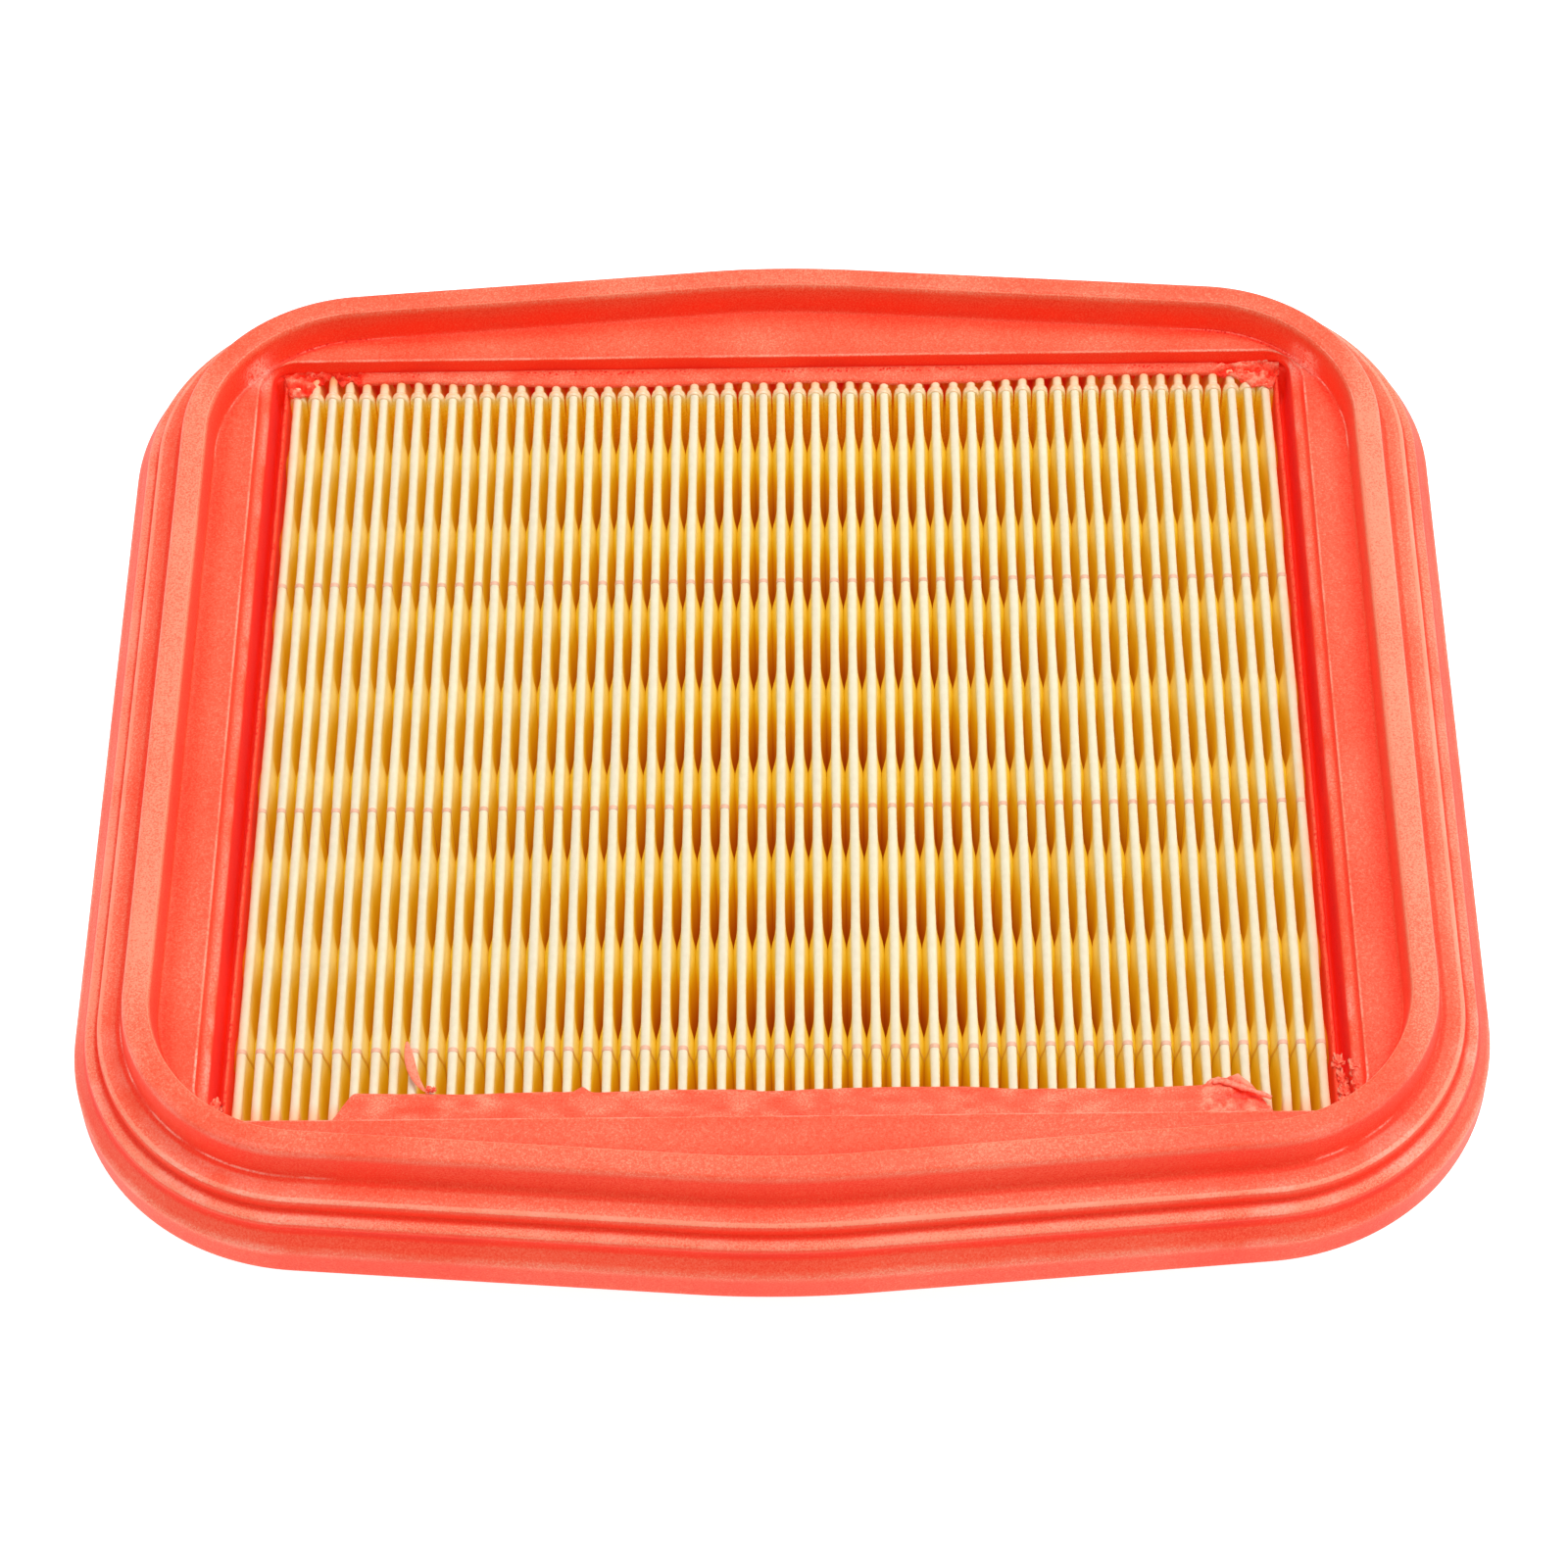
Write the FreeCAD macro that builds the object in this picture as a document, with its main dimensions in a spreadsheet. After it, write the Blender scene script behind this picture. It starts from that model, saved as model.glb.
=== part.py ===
import FreeCAD, Part
import math
import os
import Sketcher

# Pleated panel air filter, in millimetres.
# A soft moulded seal frame is cast round a folded paper pack.  Fine threads of
# hot-melt glue hold the folds apart above and below.
# X runs along the long side, across the folds; Y along the folds; Z up.
# The origin is the centre of the lowest plane, the foot of the frame's skirt.

VALUES = {
    # plan of the rim's outer edge: the long sides rise to a blunt point in the middle
    "rim_half_x": 94.9,
    "rim_tip_y": 86.7,
    "side_slope": 4.56,
    "corner_round": 28.0,
    "tip_round": 150.0,
    # heights above the foot of the skirt
    "total_height": 32.0,
    "tip_level": 22.9,
    "foot_gap": 0.9,
    # frame section: distances outward from the rim edge and drops below the rim top
    "rim_width": 3.8,
    "rim_round": 0.6,
    "foot_in": 4.87,
    "floor_in": 10.0,
    "floor_drop": 5.9,
    "wall_lean": 0.7,
    "ledge_drop": 6.1,
    "ledge_out": 4.3,
    "rib_drop": 8.3,
    "rib_out": 6.5,
    "ridge_round": 0.6,
    "slope_drop": 9.9,
    "wall_drop": 12.9,
    "flange_out": 8.67,
    "flange_drop": 18.4,
    # floor plate and the skirt below it
    "plate_half_x": 88.0,
    "plate_half_y": 78.0,
    "plate_round": 18.0,
    "skirt_half_x": 83.0,
    "skirt_half_y": 75.0,
    "skirt_round": 6.0,
    # steps down to the pack, and the film that overlaps the ends of the folds
    "ledge_half_x": 84.2,
    "ledge_half_y": 72.5,
    "band_drop": 7.0,
    "slot_half_x": 82.4,
    "slot_drop": 14.0,
    "wall_half_x": 80.5,
    "film_half_y": 69.3,
    "film_drop": 8.7,
    # folded paper pack
    "pleat_count": 57.0,
    "pack_half_x": 79.8,
    "pack_half_y": 72.3,
    "paper": 0.6,
    "fold_round": 0.7,
    # hot-melt glue
    "glue_half_x": 79.0,
    "thread_width": 0.9,
    "thread_height": 0.3,
    "thread_rear_y": 28.5,
    "thread_middle_y": -15.3,
    "thread_front_y": -58.7,
    "bead_width": 1.7,
    "bead_height": 0.6,
    "bead_y": 68.2,
}

UP = FreeCAD.Vector(0, 0, 1)

doc = FreeCAD.newDocument("panel_air_filter")
sheet = doc.addObject("Spreadsheet::Sheet", "sizes")
for row, (alias, number) in enumerate(VALUES.items(), start=1):
    sheet.set("A%d" % row, alias)
    sheet.set("B%d" % row, str(number))
    sheet.setAlias("B%d" % row, alias)
doc.recompute()


# ---- expressions over the sheet, written as words and + - * / between spaces ----

def bound(text):
    """The expression with every sheet name written as sizes.name."""
    return " ".join("sizes." + word if word in VALUES else word for word in text.split())


def worth(text):
    """The number the expression has now."""
    total, term, sign, action = 0.0, None, 1.0, "*"
    for word in text.split():
        if word in "*/":
            action = word
        elif word in "+-":
            total += sign * (term or 0.0)
            term, sign, action = None, 1.0 if word == "+" else -1.0, "*"
        else:
            number = VALUES[word] if word in VALUES else float(word)
            if term is None:
                term = number
            else:
                term = term / number if action == "/" else term * number
    return total + sign * (term or 0.0)


def negative(text):
    """The expression for minus a sum."""
    flipped = "- " + text if text[0] != "-" else text[2:]
    words = flipped.split()
    for place_in_line, word in enumerate(words):
        if place_in_line and word in "+-":
            words[place_in_line] = "-" if word == "+" else "+"
    return " ".join(words)


# ---- sketches ----

def new_body(label):
    body = doc.addObject("PartDesign::Body", label)
    body.Label = label
    return body


def new_sketch(body, name, role, height=None):
    """A sketch on one of the body's own planes, raised by the expression `height`."""
    plane = [item for item in body.Origin.OriginFeatures if item.Role == role][0]
    sketch = body.newObject("Sketcher::SketchObject", name)
    sketch.AttachmentSupport = [(plane, "")]
    sketch.MapMode = "FlatFace"
    if height:
        sketch.setExpression("AttachmentOffset.Base.z", bound(height))
    return sketch


def fix(sketch, kind, where, text):
    """Add a distance, radius or angle bound to the sheet."""
    value = math.radians(worth(text)) if kind == "Angle" else worth(text)
    index = sketch.addConstraint(Sketcher.Constraint(kind, *where, value))
    sketch.setExpression("Constraints[%d]" % index, bound(text))


def hold_point(sketch, item, end, along, up):
    fix(sketch, "DistanceX", (-1, 1, item, end), along)
    fix(sketch, "DistanceY", (-1, 1, item, end), up)


def vector(along, up):
    return FreeCAD.Vector(along, up, 0)


def arc_between(start, finish, radius, turn):
    """The short arc from start to finish; turn is 1 anticlockwise, -1 clockwise."""
    chord = finish - start
    rise = math.sqrt(max(radius * radius - chord.Length * chord.Length / 4, 0.0))
    side = FreeCAD.Vector(-chord.y, chord.x, 0) / chord.Length
    centre = (start + finish) / 2 + side * rise * turn
    first, last = (start, finish) if turn > 0 else (finish, start)
    begin = math.atan2(first.y - centre.y, first.x - centre.x)
    end = math.atan2(last.y - centre.y, last.x - centre.x)
    return Part.ArcOfCircle(Part.Circle(centre, UP, radius), begin, end)


def draw_chain(sketch, stops, rounds):
    """A closed chain through `stops`; `rounds` gives the radius and turn of the
    arcs, by the number of the stop each one leaves.  Other pieces are straight."""
    base = sketch.GeometryCount
    points = [vector(worth(along), worth(up)) for along, up in stops]
    ends = []
    for number, point in enumerate(points):
        after = points[(number + 1) % len(points)]
        if number in rounds:
            radius, turn = rounds[number]
            sketch.addGeometry(arc_between(point, after, worth(radius), turn), False)
            ends.append((1, 2) if turn > 0 else (2, 1))
        else:
            sketch.addGeometry(Part.LineSegment(point, after), False)
            ends.append((1, 2))
    for number, (along, up) in enumerate(stops):
        before = (number - 1) % len(stops)
        sketch.addConstraint(Sketcher.Constraint(
            "Coincident", base + before, ends[before][1], base + number, ends[number][0]))
        hold_point(sketch, base + number, ends[number][0], along, up)
        if number in rounds:
            fix(sketch, "Radius", (base + number,), rounds[number][0])


def draw_rectangle(sketch, left, right, low, high):
    draw_chain(sketch, [(left, low), (right, low), (right, high), (left, high)], {})


def draw_round_rectangle(sketch, half_x, half_y, radius):
    """A centred rectangle with quarter-round corners, anticlockwise."""
    inner_x, inner_y = half_x + " - " + radius, half_y + " - " + radius
    stops = [
        (inner_x, negative(half_y)), (half_x, negative(inner_y)),
        (half_x, inner_y), (inner_x, half_y),
        (negative(inner_x), half_y), (negative(half_x), inner_y),
        (negative(half_x), negative(inner_y)), (negative(inner_x), negative(half_y)),
    ]
    draw_chain(sketch, stops, {number: (radius, 1) for number in (0, 2, 4, 6)})


def draw_rim_outline(sketch):
    """The rim's outer edge, anticlockwise from the middle of the right side."""
    slope = math.radians(VALUES["side_slope"])
    half_x, corner, tip = VALUES["rim_half_x"], VALUES["corner_round"], VALUES["tip_round"]
    steep = math.pi / 2 - slope
    centre_x = half_x - corner
    blunt_y = VALUES["rim_tip_y"] - tip
    centre_y = blunt_y + (tip - corner) / math.cos(slope) - math.tan(slope) * centre_x

    def corner_point(sign_x, sign_y):
        return vector(sign_x * (centre_x + corner * math.cos(steep)),
                      sign_y * (centre_y + corner * math.sin(steep)))

    def tip_point(sign_x, sign_y):
        return vector(sign_x * tip * math.cos(steep), sign_y * (blunt_y + tip * math.sin(steep)))

    def arc(middle_x, middle_y, radius, begin, end):
        return Part.ArcOfCircle(Part.Circle(vector(middle_x, middle_y), UP, radius), begin, end)

    turn = math.pi
    pieces = [
        Part.LineSegment(vector(half_x, 0), vector(half_x, centre_y)),
        arc(centre_x, centre_y, corner, 0, steep),
        Part.LineSegment(corner_point(1, 1), tip_point(1, 1)),
        arc(0, blunt_y, tip, steep, turn - steep),
        Part.LineSegment(tip_point(-1, 1), corner_point(-1, 1)),
        arc(-centre_x, centre_y, corner, turn - steep, turn),
        Part.LineSegment(vector(-half_x, centre_y), vector(-half_x, -centre_y)),
        arc(-centre_x, -centre_y, corner, turn, turn + steep),
        Part.LineSegment(corner_point(-1, -1), tip_point(-1, -1)),
        arc(0, -blunt_y, tip, turn + steep, 2 * turn - steep),
        Part.LineSegment(tip_point(1, -1), corner_point(1, -1)),
        arc(centre_x, -centre_y, corner, 2 * turn - steep, 2 * turn),
        Part.LineSegment(vector(half_x, -centre_y), vector(half_x, 0)),
    ]
    for piece in pieces:
        sketch.addGeometry(piece, False)
    for number in range(len(pieces) - 1):
        sketch.addConstraint(Sketcher.Constraint("Tangent", number, 2, number + 1, 1))
    sketch.addConstraint(Sketcher.Constraint("Coincident", len(pieces) - 1, 2, 0, 1))
    for upright in (0, 6, 12):
        sketch.addConstraint(Sketcher.Constraint("Vertical", upright))
    hold_point(sketch, 0, 1, "rim_half_x", "0")
    fix(sketch, "DistanceX", (-1, 1, 6, 1), "- rim_half_x")
    for number in (1, 5, 7, 11):
        fix(sketch, "Radius", (number,), "corner_round")
    for number, height in ((3, "rim_tip_y - tip_round"), (9, "tip_round - rim_tip_y")):
        fix(sketch, "Radius", (number,), "tip_round")
        hold_point(sketch, number, 3, "0", height)
    for number, text in ((2, "180 - side_slope"), (4, "180 + side_slope"),
                         (8, "- side_slope"), (10, "side_slope")):
        fix(sketch, "Angle", (number,), text)


# ---- features ----

def extrude(body, name, kind, sketch, length, middle=False):
    """Pad upward or cut downward from the sketch by the expression `length`."""
    doc.recompute()
    feature = body.newObject("PartDesign::" + kind, name)
    feature.Profile = sketch
    feature.Midplane = middle
    feature.setExpression("Length", bound(length))
    body.Tip = feature
    doc.recompute()
    return feature


def cut_rectangle(body, name, half_x, half_y, top, depth):
    sketch = new_sketch(body, name + "_outline", "XY_Plane", top)
    draw_rectangle(sketch, negative(half_x), half_x, negative(half_y), half_y)
    extrude(body, name, "Pocket", sketch, depth)


# Section of the moulded ring: outward distance and drop of each corner.
RING_SECTION = [
    ("- floor_in", "floor_drop"),
    ("- foot_in", "floor_drop"),
    ("- rim_width", "rim_round"),
    ("- rim_width + rim_round", "0"),
    ("- rim_round", "0"),
    ("0", "rim_round"),
    ("wall_lean", "ledge_drop"),
    ("ledge_out - ridge_round", "ledge_drop"),
    ("ledge_out", "ledge_drop + ridge_round"),
    ("ledge_out", "rib_drop"),
    ("rib_out - ridge_round", "rib_drop"),
    ("rib_out", "rib_drop + ridge_round"),
    ("rib_out", "slope_drop"),
    ("flange_out", "wall_drop"),
    ("flange_out", "flange_drop"),
    ("- floor_in", "flange_drop"),
]
RING_ROUNDS = {2: ("rim_round", -1), 4: ("rim_round", -1),
               7: ("ridge_round", -1), 10: ("ridge_round", -1)}


def build_ring(body):
    """Ribbed outer wall and raised rim, swept round the outline."""
    path = new_sketch(body, "rim_outline", "XY_Plane")
    draw_rim_outline(path)
    section = new_sketch(body, "ring_section", "XZ_Plane")
    stops = []
    for out, drop in RING_SECTION:
        joint = " " if out[0] == "-" else " + "
        stops.append(("rim_half_x" + joint + out, "total_height " + negative(drop)))
    draw_chain(section, stops, RING_ROUNDS)
    doc.recompute()
    ring = body.newObject("PartDesign::AdditivePipe", "ring")
    ring.Profile = section
    ring.Spine = path
    body.Tip = ring
    doc.recompute()


def build_frame():
    """The moulded frame: ring, sunk floor, skirt, and a stepped window for the pack."""
    body = new_body("seal_frame")
    build_ring(body)
    plate = new_sketch(body, "plate_outline", "XY_Plane", "total_height - flange_drop")
    draw_round_rectangle(plate, "plate_half_x", "plate_half_y", "plate_round")
    extrude(body, "plate", "Pad", plate, "flange_drop - floor_drop")
    skirt = new_sketch(body, "skirt_outline", "XY_Plane")
    draw_round_rectangle(skirt, "skirt_half_x", "skirt_half_y", "skirt_round")
    extrude(body, "skirt", "Pad", skirt, "total_height - wall_drop")

    cut_rectangle(body, "ledge_step", "ledge_half_x", "ledge_half_y",
                  "total_height - floor_drop", "band_drop - floor_drop")
    cut_rectangle(body, "side_step", "slot_half_x", "ledge_half_y",
                  "total_height - band_drop", "film_drop - band_drop")
    cut_rectangle(body, "film_step", "slot_half_x", "film_half_y",
                  "total_height - film_drop", "total_height - film_drop - tip_level")
    slots = new_sketch(body, "slot_outlines", "XY_Plane", "tip_level")
    for near, far in (("wall_half_x", "slot_half_x"), ("- slot_half_x", "- wall_half_x")):
        draw_rectangle(slots, near, far, "- film_half_y", "film_half_y")
    extrude(body, "slots", "Pocket", slots, "tip_level - total_height + slot_drop")
    cut_rectangle(body, "window", "pack_half_x", "pack_half_y", "tip_level", "tip_level")
    return body


def fold_path():
    """Corner points of one fold of paper, valley to valley round the upper tip.
    The flanks lean so that each gap is wide at its mouth and closes at its foot."""
    outer = VALUES["fold_round"]
    inner = outer - VALUES["paper"]
    half = VALUES["pack_half_x"] / VALUES["pleat_count"]
    centre_up = VALUES["tip_level"] - outer
    centre_low = VALUES["foot_gap"] + outer
    reach = math.hypot(half, centre_up - centre_low)
    lean = math.asin((outer + inner) / reach) - math.atan2(half, centre_up - centre_low)
    middle = half - VALUES["pack_half_x"]
    return outer, inner, half, centre_up, centre_low, lean, middle


def build_media():
    """One fold of paper, repeated along X."""
    body = new_body("pleated_media")
    outer, inner, half, high, low, lean, middle = fold_path()
    # `lean` is negative where the fold is wider at its foot than at its tip
    across, up = math.cos(lean), math.sin(lean)
    sketch = new_sketch(body, "fold_section", "XZ_Plane")

    def rim_point(side, centre_x, centre_z, radius, outward):
        return vector(middle + side * (centre_x + outward * radius * across),
                      centre_z + outward * radius * -up)

    def arc(centre_x, centre_z, radius, begin, end):
        place = vector(middle + centre_x, centre_z)
        return Part.ArcOfCircle(Part.Circle(place, UP, radius), begin, end)

    turn = math.pi
    pieces = [
        arc(0, high, outer, -lean, turn + lean),
        Part.LineSegment(rim_point(-1, 0, high, outer, 1), rim_point(-1, half, low, inner, -1)),
        arc(-half, low, inner, -turn / 2, lean),
        Part.LineSegment(vector(middle - half, low - inner), vector(middle - half, low - outer)),
        arc(-half, low, outer, -turn / 2, lean),
        Part.LineSegment(rim_point(-1, half, low, outer, -1), rim_point(-1, 0, high, inner, 1)),
        arc(0, high, inner, -lean, turn + lean),
        Part.LineSegment(rim_point(1, 0, high, inner, 1), rim_point(1, half, low, outer, -1)),
        arc(half, low, outer, turn - lean, 3 * turn / 2),
        Part.LineSegment(vector(middle + half, low - outer), vector(middle + half, low - inner)),
        arc(half, low, inner, turn - lean, 3 * turn / 2),
        Part.LineSegment(rim_point(1, half, low, inner, -1), rim_point(1, 0, high, outer, 1)),
    ]
    for piece in pieces:
        sketch.addGeometry(piece, False)
    for first, first_end, second, second_end in (
            (0, 2, 1, 1), (1, 2, 2, 2), (4, 2, 5, 1), (5, 2, 6, 2),
            (6, 1, 7, 1), (7, 2, 8, 1), (10, 1, 11, 1), (11, 2, 0, 1)):
        sketch.addConstraint(Sketcher.Constraint("Tangent", first, first_end, second, second_end))
    for first, first_end, second, second_end in (
            (2, 1, 3, 1), (3, 2, 4, 1), (8, 2, 9, 1), (9, 2, 10, 2)):
        sketch.addConstraint(
            Sketcher.Constraint("Coincident", first, first_end, second, second_end))
    for upright in (3, 9):
        sketch.addConstraint(Sketcher.Constraint("Vertical", upright))
    for number, radius in ((0, "fold_round"), (2, "fold_round - paper"), (4, "fold_round"),
                           (6, "fold_round - paper"), (8, "fold_round"),
                           (10, "fold_round - paper")):
        fix(sketch, "Radius", (number,), radius)
    first_tip = "pack_half_x / pleat_count - pack_half_x"
    last_valley = "2 * pack_half_x / pleat_count - pack_half_x"
    centres = ((0, first_tip, "tip_level - fold_round"), (6, first_tip, "tip_level - fold_round"),
               (2, "- pack_half_x", "foot_gap + fold_round"),
               (4, "- pack_half_x", "foot_gap + fold_round"),
               (8, last_valley, "foot_gap + fold_round"),
               (10, last_valley, "foot_gap + fold_round"))
    for number, along, height in centres:
        hold_point(sketch, number, 3, along, height)
    fix(sketch, "DistanceX", (-1, 1, 3, 1), "- pack_half_x")
    fix(sketch, "DistanceX", (-1, 1, 9, 1), last_valley)
    fold = extrude(body, "fold", "Pad", sketch, "2 * pack_half_y", middle=True)

    pattern = body.newObject("PartDesign::LinearPattern", "folds")
    pattern.Originals = [fold]
    along_x = [item for item in body.Origin.OriginFeatures if item.Role == "X_Axis"][0]
    pattern.Direction = (along_x, [""])
    pattern.setExpression("Occurrences", bound("pleat_count"))
    pattern.setExpression("Length", bound("2 * pack_half_x - 2 * pack_half_x / pleat_count"))
    body.Tip = pattern
    doc.recompute()
    return body


def build_glue(label, width, height, along_y, level, side):
    """A bead of glue across all the folds: flat on the tips, domed on its free side."""
    body = new_body(label)
    sketch = new_sketch(body, label + "_section", "YZ_Plane")
    left, right = along_y + " - " + width + " / 2", along_y + " + " + width + " / 2"
    shoulder = level + (" + " if side > 0 else " - ") + height + " / 3"
    crown = level + (" + " if side > 0 else " - ") + height
    stops = [(left, level), (right, level), (right, shoulder),
             (along_y + " + " + width + " / 4", crown),
             (along_y + " - " + width + " / 4", crown), (left, shoulder)]
    draw_chain(sketch, stops, {})
    extrude(body, label + "_bead", "Pad", sketch, "2 * glue_half_x", middle=True)
    return body


def build_all():
    bodies = [build_frame(), build_media()]
    for face, level, side in (("top", "tip_level", 1), ("under", "foot_gap", -1)):
        for place in ("rear", "middle", "front"):
            bodies.append(build_glue("glue_thread_%s_%s" % (face, place), "thread_width",
                                     "thread_height", "thread_%s_y" % place, level, side))
        bodies.append(build_glue("glue_bead_%s_rear" % face, "bead_width", "bead_height",
                                 "bead_y", level, side))
    return bodies


def export(bodies):
    doc.recompute()
    for item in doc.Objects:
        if "Invalid" in item.State or "Error" in item.State:
            raise RuntimeError("%s: %s" % (item.Name, item.State))
    os.makedirs("parts", exist_ok=True)
    for body in bodies:
        shape = body.Shape
        if shape.isNull() or not shape.isValid() or len(shape.Solids) != 1:
            raise RuntimeError(body.Label + " is not one sound solid")
        box = shape.BoundBox
        print("%-28s %9.1f mm3  x %.2f %.2f  y %.2f %.2f  z %.2f %.2f" % (
            body.Label, shape.Volume, box.XMin, box.XMax, box.YMin, box.YMax, box.ZMin, box.ZMax))
        shape.exportStep("parts/%s.step" % body.Label)


export(build_all())
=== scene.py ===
import math

import bpy
import numpy as np
from mathutils import Matrix, Vector


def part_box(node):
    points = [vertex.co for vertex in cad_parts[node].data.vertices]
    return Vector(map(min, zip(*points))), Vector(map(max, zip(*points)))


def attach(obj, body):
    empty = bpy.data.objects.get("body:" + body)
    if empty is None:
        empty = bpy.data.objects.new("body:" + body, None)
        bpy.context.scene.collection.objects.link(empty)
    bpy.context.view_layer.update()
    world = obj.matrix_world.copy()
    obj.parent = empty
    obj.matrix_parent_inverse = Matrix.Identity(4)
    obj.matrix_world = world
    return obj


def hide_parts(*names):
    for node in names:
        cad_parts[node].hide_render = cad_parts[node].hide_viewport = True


# Visual layer of a pleated panel air filter: a foam frame, a pack of folded paper and
# its glue.  X runs across the pleats, +Y to the rear and +Z up, as in the CAD.  Sizes
# are in millimetres, and MM turns them into metres.
MM = 0.001

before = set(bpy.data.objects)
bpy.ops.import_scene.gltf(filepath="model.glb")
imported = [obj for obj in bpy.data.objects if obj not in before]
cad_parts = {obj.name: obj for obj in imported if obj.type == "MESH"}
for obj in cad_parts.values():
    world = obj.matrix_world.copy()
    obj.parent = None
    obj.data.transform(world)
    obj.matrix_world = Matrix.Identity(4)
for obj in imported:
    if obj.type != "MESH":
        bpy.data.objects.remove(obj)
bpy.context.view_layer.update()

# ---------------------------------------------------------------- sizes, in mm

_, frame_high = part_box("seal_frame")
pack_low, pack_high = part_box("pleated_media")

FLANGE_OUT = 8.67
RIM_HALF_X = frame_high[0] / MM - FLANGE_OUT
TOTAL_HEIGHT = frame_high[2] / MM
FLOOR_LEVEL = TOTAL_HEIGHT - 5.9
FLANGE_UNDER = TOTAL_HEIGHT - 18.4
SIDE_SLOPE = math.radians(4.56)
CORNER_ROUND = 28.0
TIP_ROUND = 150.0
RIM_TIP_Y = 86.7

SKIRT_HALF_X = 83.0
SKIRT_HALF_Y = 75.0
SKIRT_ROUND = 6.0

PACK_HALF_X = pack_high[0] / MM
PACK_HALF_Y = pack_high[1] / MM
TIP_LEVEL = pack_high[2] / MM
FOOT_LEVEL = pack_low[2] / MM
PLEATS = 57
PITCH = 2 * PACK_HALF_X / PLEATS
PAPER = 0.6

EMBOSS_PITCH = 16.15
EMBOSS_START = 8.0
BULGE = 0.85

THREAD_Y = {"rear": 28.5, "middle": -15.3, "front": -58.7}
BEAD_Y = 68.0

# Cells of the random lattices, and a shift that keeps a place on the part positive.
LINE_CELLS = 4096
PLANE_CELLS = 256
SHIFT = 300.0


# ---------------------------------------------------------------- small helpers

def lattice(shape, seed):
    return np.random.default_rng(seed).uniform(-1.0, 1.0, shape)


def ease(part):
    return part * part * (3 - 2 * part)


def smooth_step(low, high, value):
    """0 below `low`, 1 above `high` and smooth between."""
    return ease(np.clip((value - low) / (high - low), 0.0, 1.0))


def between(low, high, value, soft):
    """1 inside a stretch and 0 outside it."""
    begin = smooth_step(low - soft, low + soft, value)
    return begin * (1 - smooth_step(high - soft, high + soft, value))


def hump(centre, width, value):
    """A bell of height 1."""
    return np.exp(-((value - centre) / width) ** 2)


def wander(where, step, seed):
    """Smooth random values along a line, from -1 to 1, with bends `step` apart."""
    where = np.asarray(where, dtype=float) / step
    cell = np.floor(where).astype(int)
    part = ease(where - cell)
    values = lattice(LINE_CELLS, seed)
    return values[cell % LINE_CELLS] * (1 - part) + values[(cell + 1) % LINE_CELLS] * part


def wander_2d(first, second, step, seed):
    """Smooth random values over a plane, from -1 to 1."""
    first, second = np.broadcast_arrays(np.asarray(first) / step, np.asarray(second) / step)
    values = lattice((PLANE_CELLS, PLANE_CELLS), seed)
    a, b = np.floor(first).astype(int), np.floor(second).astype(int)
    u, v = ease(first - a), ease(second - b)
    a, a_next = a % PLANE_CELLS, (a + 1) % PLANE_CELLS
    b, b_next = b % PLANE_CELLS, (b + 1) % PLANE_CELLS
    near = values[a, b] * (1 - u) + values[a_next, b] * u
    far = values[a, b_next] * (1 - u) + values[a_next, b_next] * u
    return near * (1 - v) + far * v


def across_width(x, step, seed):
    """Random values along the part's width."""
    return wander(x + SHIFT, step, seed)


def over_plan(x, y, step, seed):
    """Random values over the part's plan."""
    return wander_2d(x + SHIFT, y + SHIFT, step, seed)


def grid_faces(rows, columns, wrap_rows=False, wrap_columns=False):
    """Quads of a grid whose vertices are numbered row by row."""
    row_count = rows if wrap_rows else rows - 1
    column_count = columns if wrap_columns else columns - 1
    row, column = np.meshgrid(np.arange(row_count), np.arange(column_count), indexing="ij")
    row_after, column_after = (row + 1) % rows, (column + 1) % columns
    quads = np.stack([row * columns + column, row * columns + column_after,
                      row_after * columns + column_after, row_after * columns + column], axis=-1)
    return quads.reshape(-1, 4)


def cap_faces(ring):
    """Quads across a closed ring with an even number of points."""
    half = len(ring) // 2
    step = np.arange(half - 1)
    return np.stack([ring[step], ring[step + 1], ring[len(ring) - 2 - step],
                     ring[len(ring) - 1 - step]], axis=1)


def closed_tube_faces(rows, columns):
    """Outward quads of a tube of `rows` rings of `columns` points, with both ends capped."""
    wall = grid_faces(rows, columns, wrap_columns=True)
    start = cap_faces(np.arange(columns))[:, ::-1]
    end = cap_faces(np.arange(columns) + (rows - 1) * columns)
    return np.concatenate([wall, start, end])[:, ::-1]


def make_piece(name, points, quads, material, replaces=(), values=None):
    """A smooth mesh piece from points in mm and quads, riding on the root body."""
    mesh = bpy.data.meshes.new(name)
    mesh.vertices.add(len(points))
    mesh.vertices.foreach_set("co", (np.asarray(points, dtype=np.float32) * MM).ravel())
    quads = np.asarray(quads, dtype=np.int32)
    mesh.loops.add(quads.size)
    mesh.loops.foreach_set("vertex_index", quads.ravel())
    mesh.polygons.add(len(quads))
    mesh.polygons.foreach_set("loop_start", np.arange(0, quads.size, 4, dtype=np.int32))
    mesh.polygons.foreach_set("loop_total", np.full(len(quads), 4, dtype=np.int32))
    mesh.update(calc_edges=True)
    mesh.validate()
    mesh.shade_smooth()
    for label, numbers in (values or {}).items():
        attribute = mesh.attributes.new(label, "FLOAT", "POINT")
        attribute.data.foreach_set("value", np.asarray(numbers, dtype=np.float32).ravel())
    piece = bpy.data.objects.new(name, mesh)
    bpy.context.scene.collection.objects.link(piece)
    mesh.materials.append(material)
    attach(piece, "root")
    if replaces:
        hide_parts(*replaces)
    return piece


# ---------------------------------------------------------------- materials

def new_material(name):
    material = bpy.data.materials.new(name)
    material.use_nodes = True
    tree = material.node_tree
    return material, tree, tree.nodes["Principled BSDF"]


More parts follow.
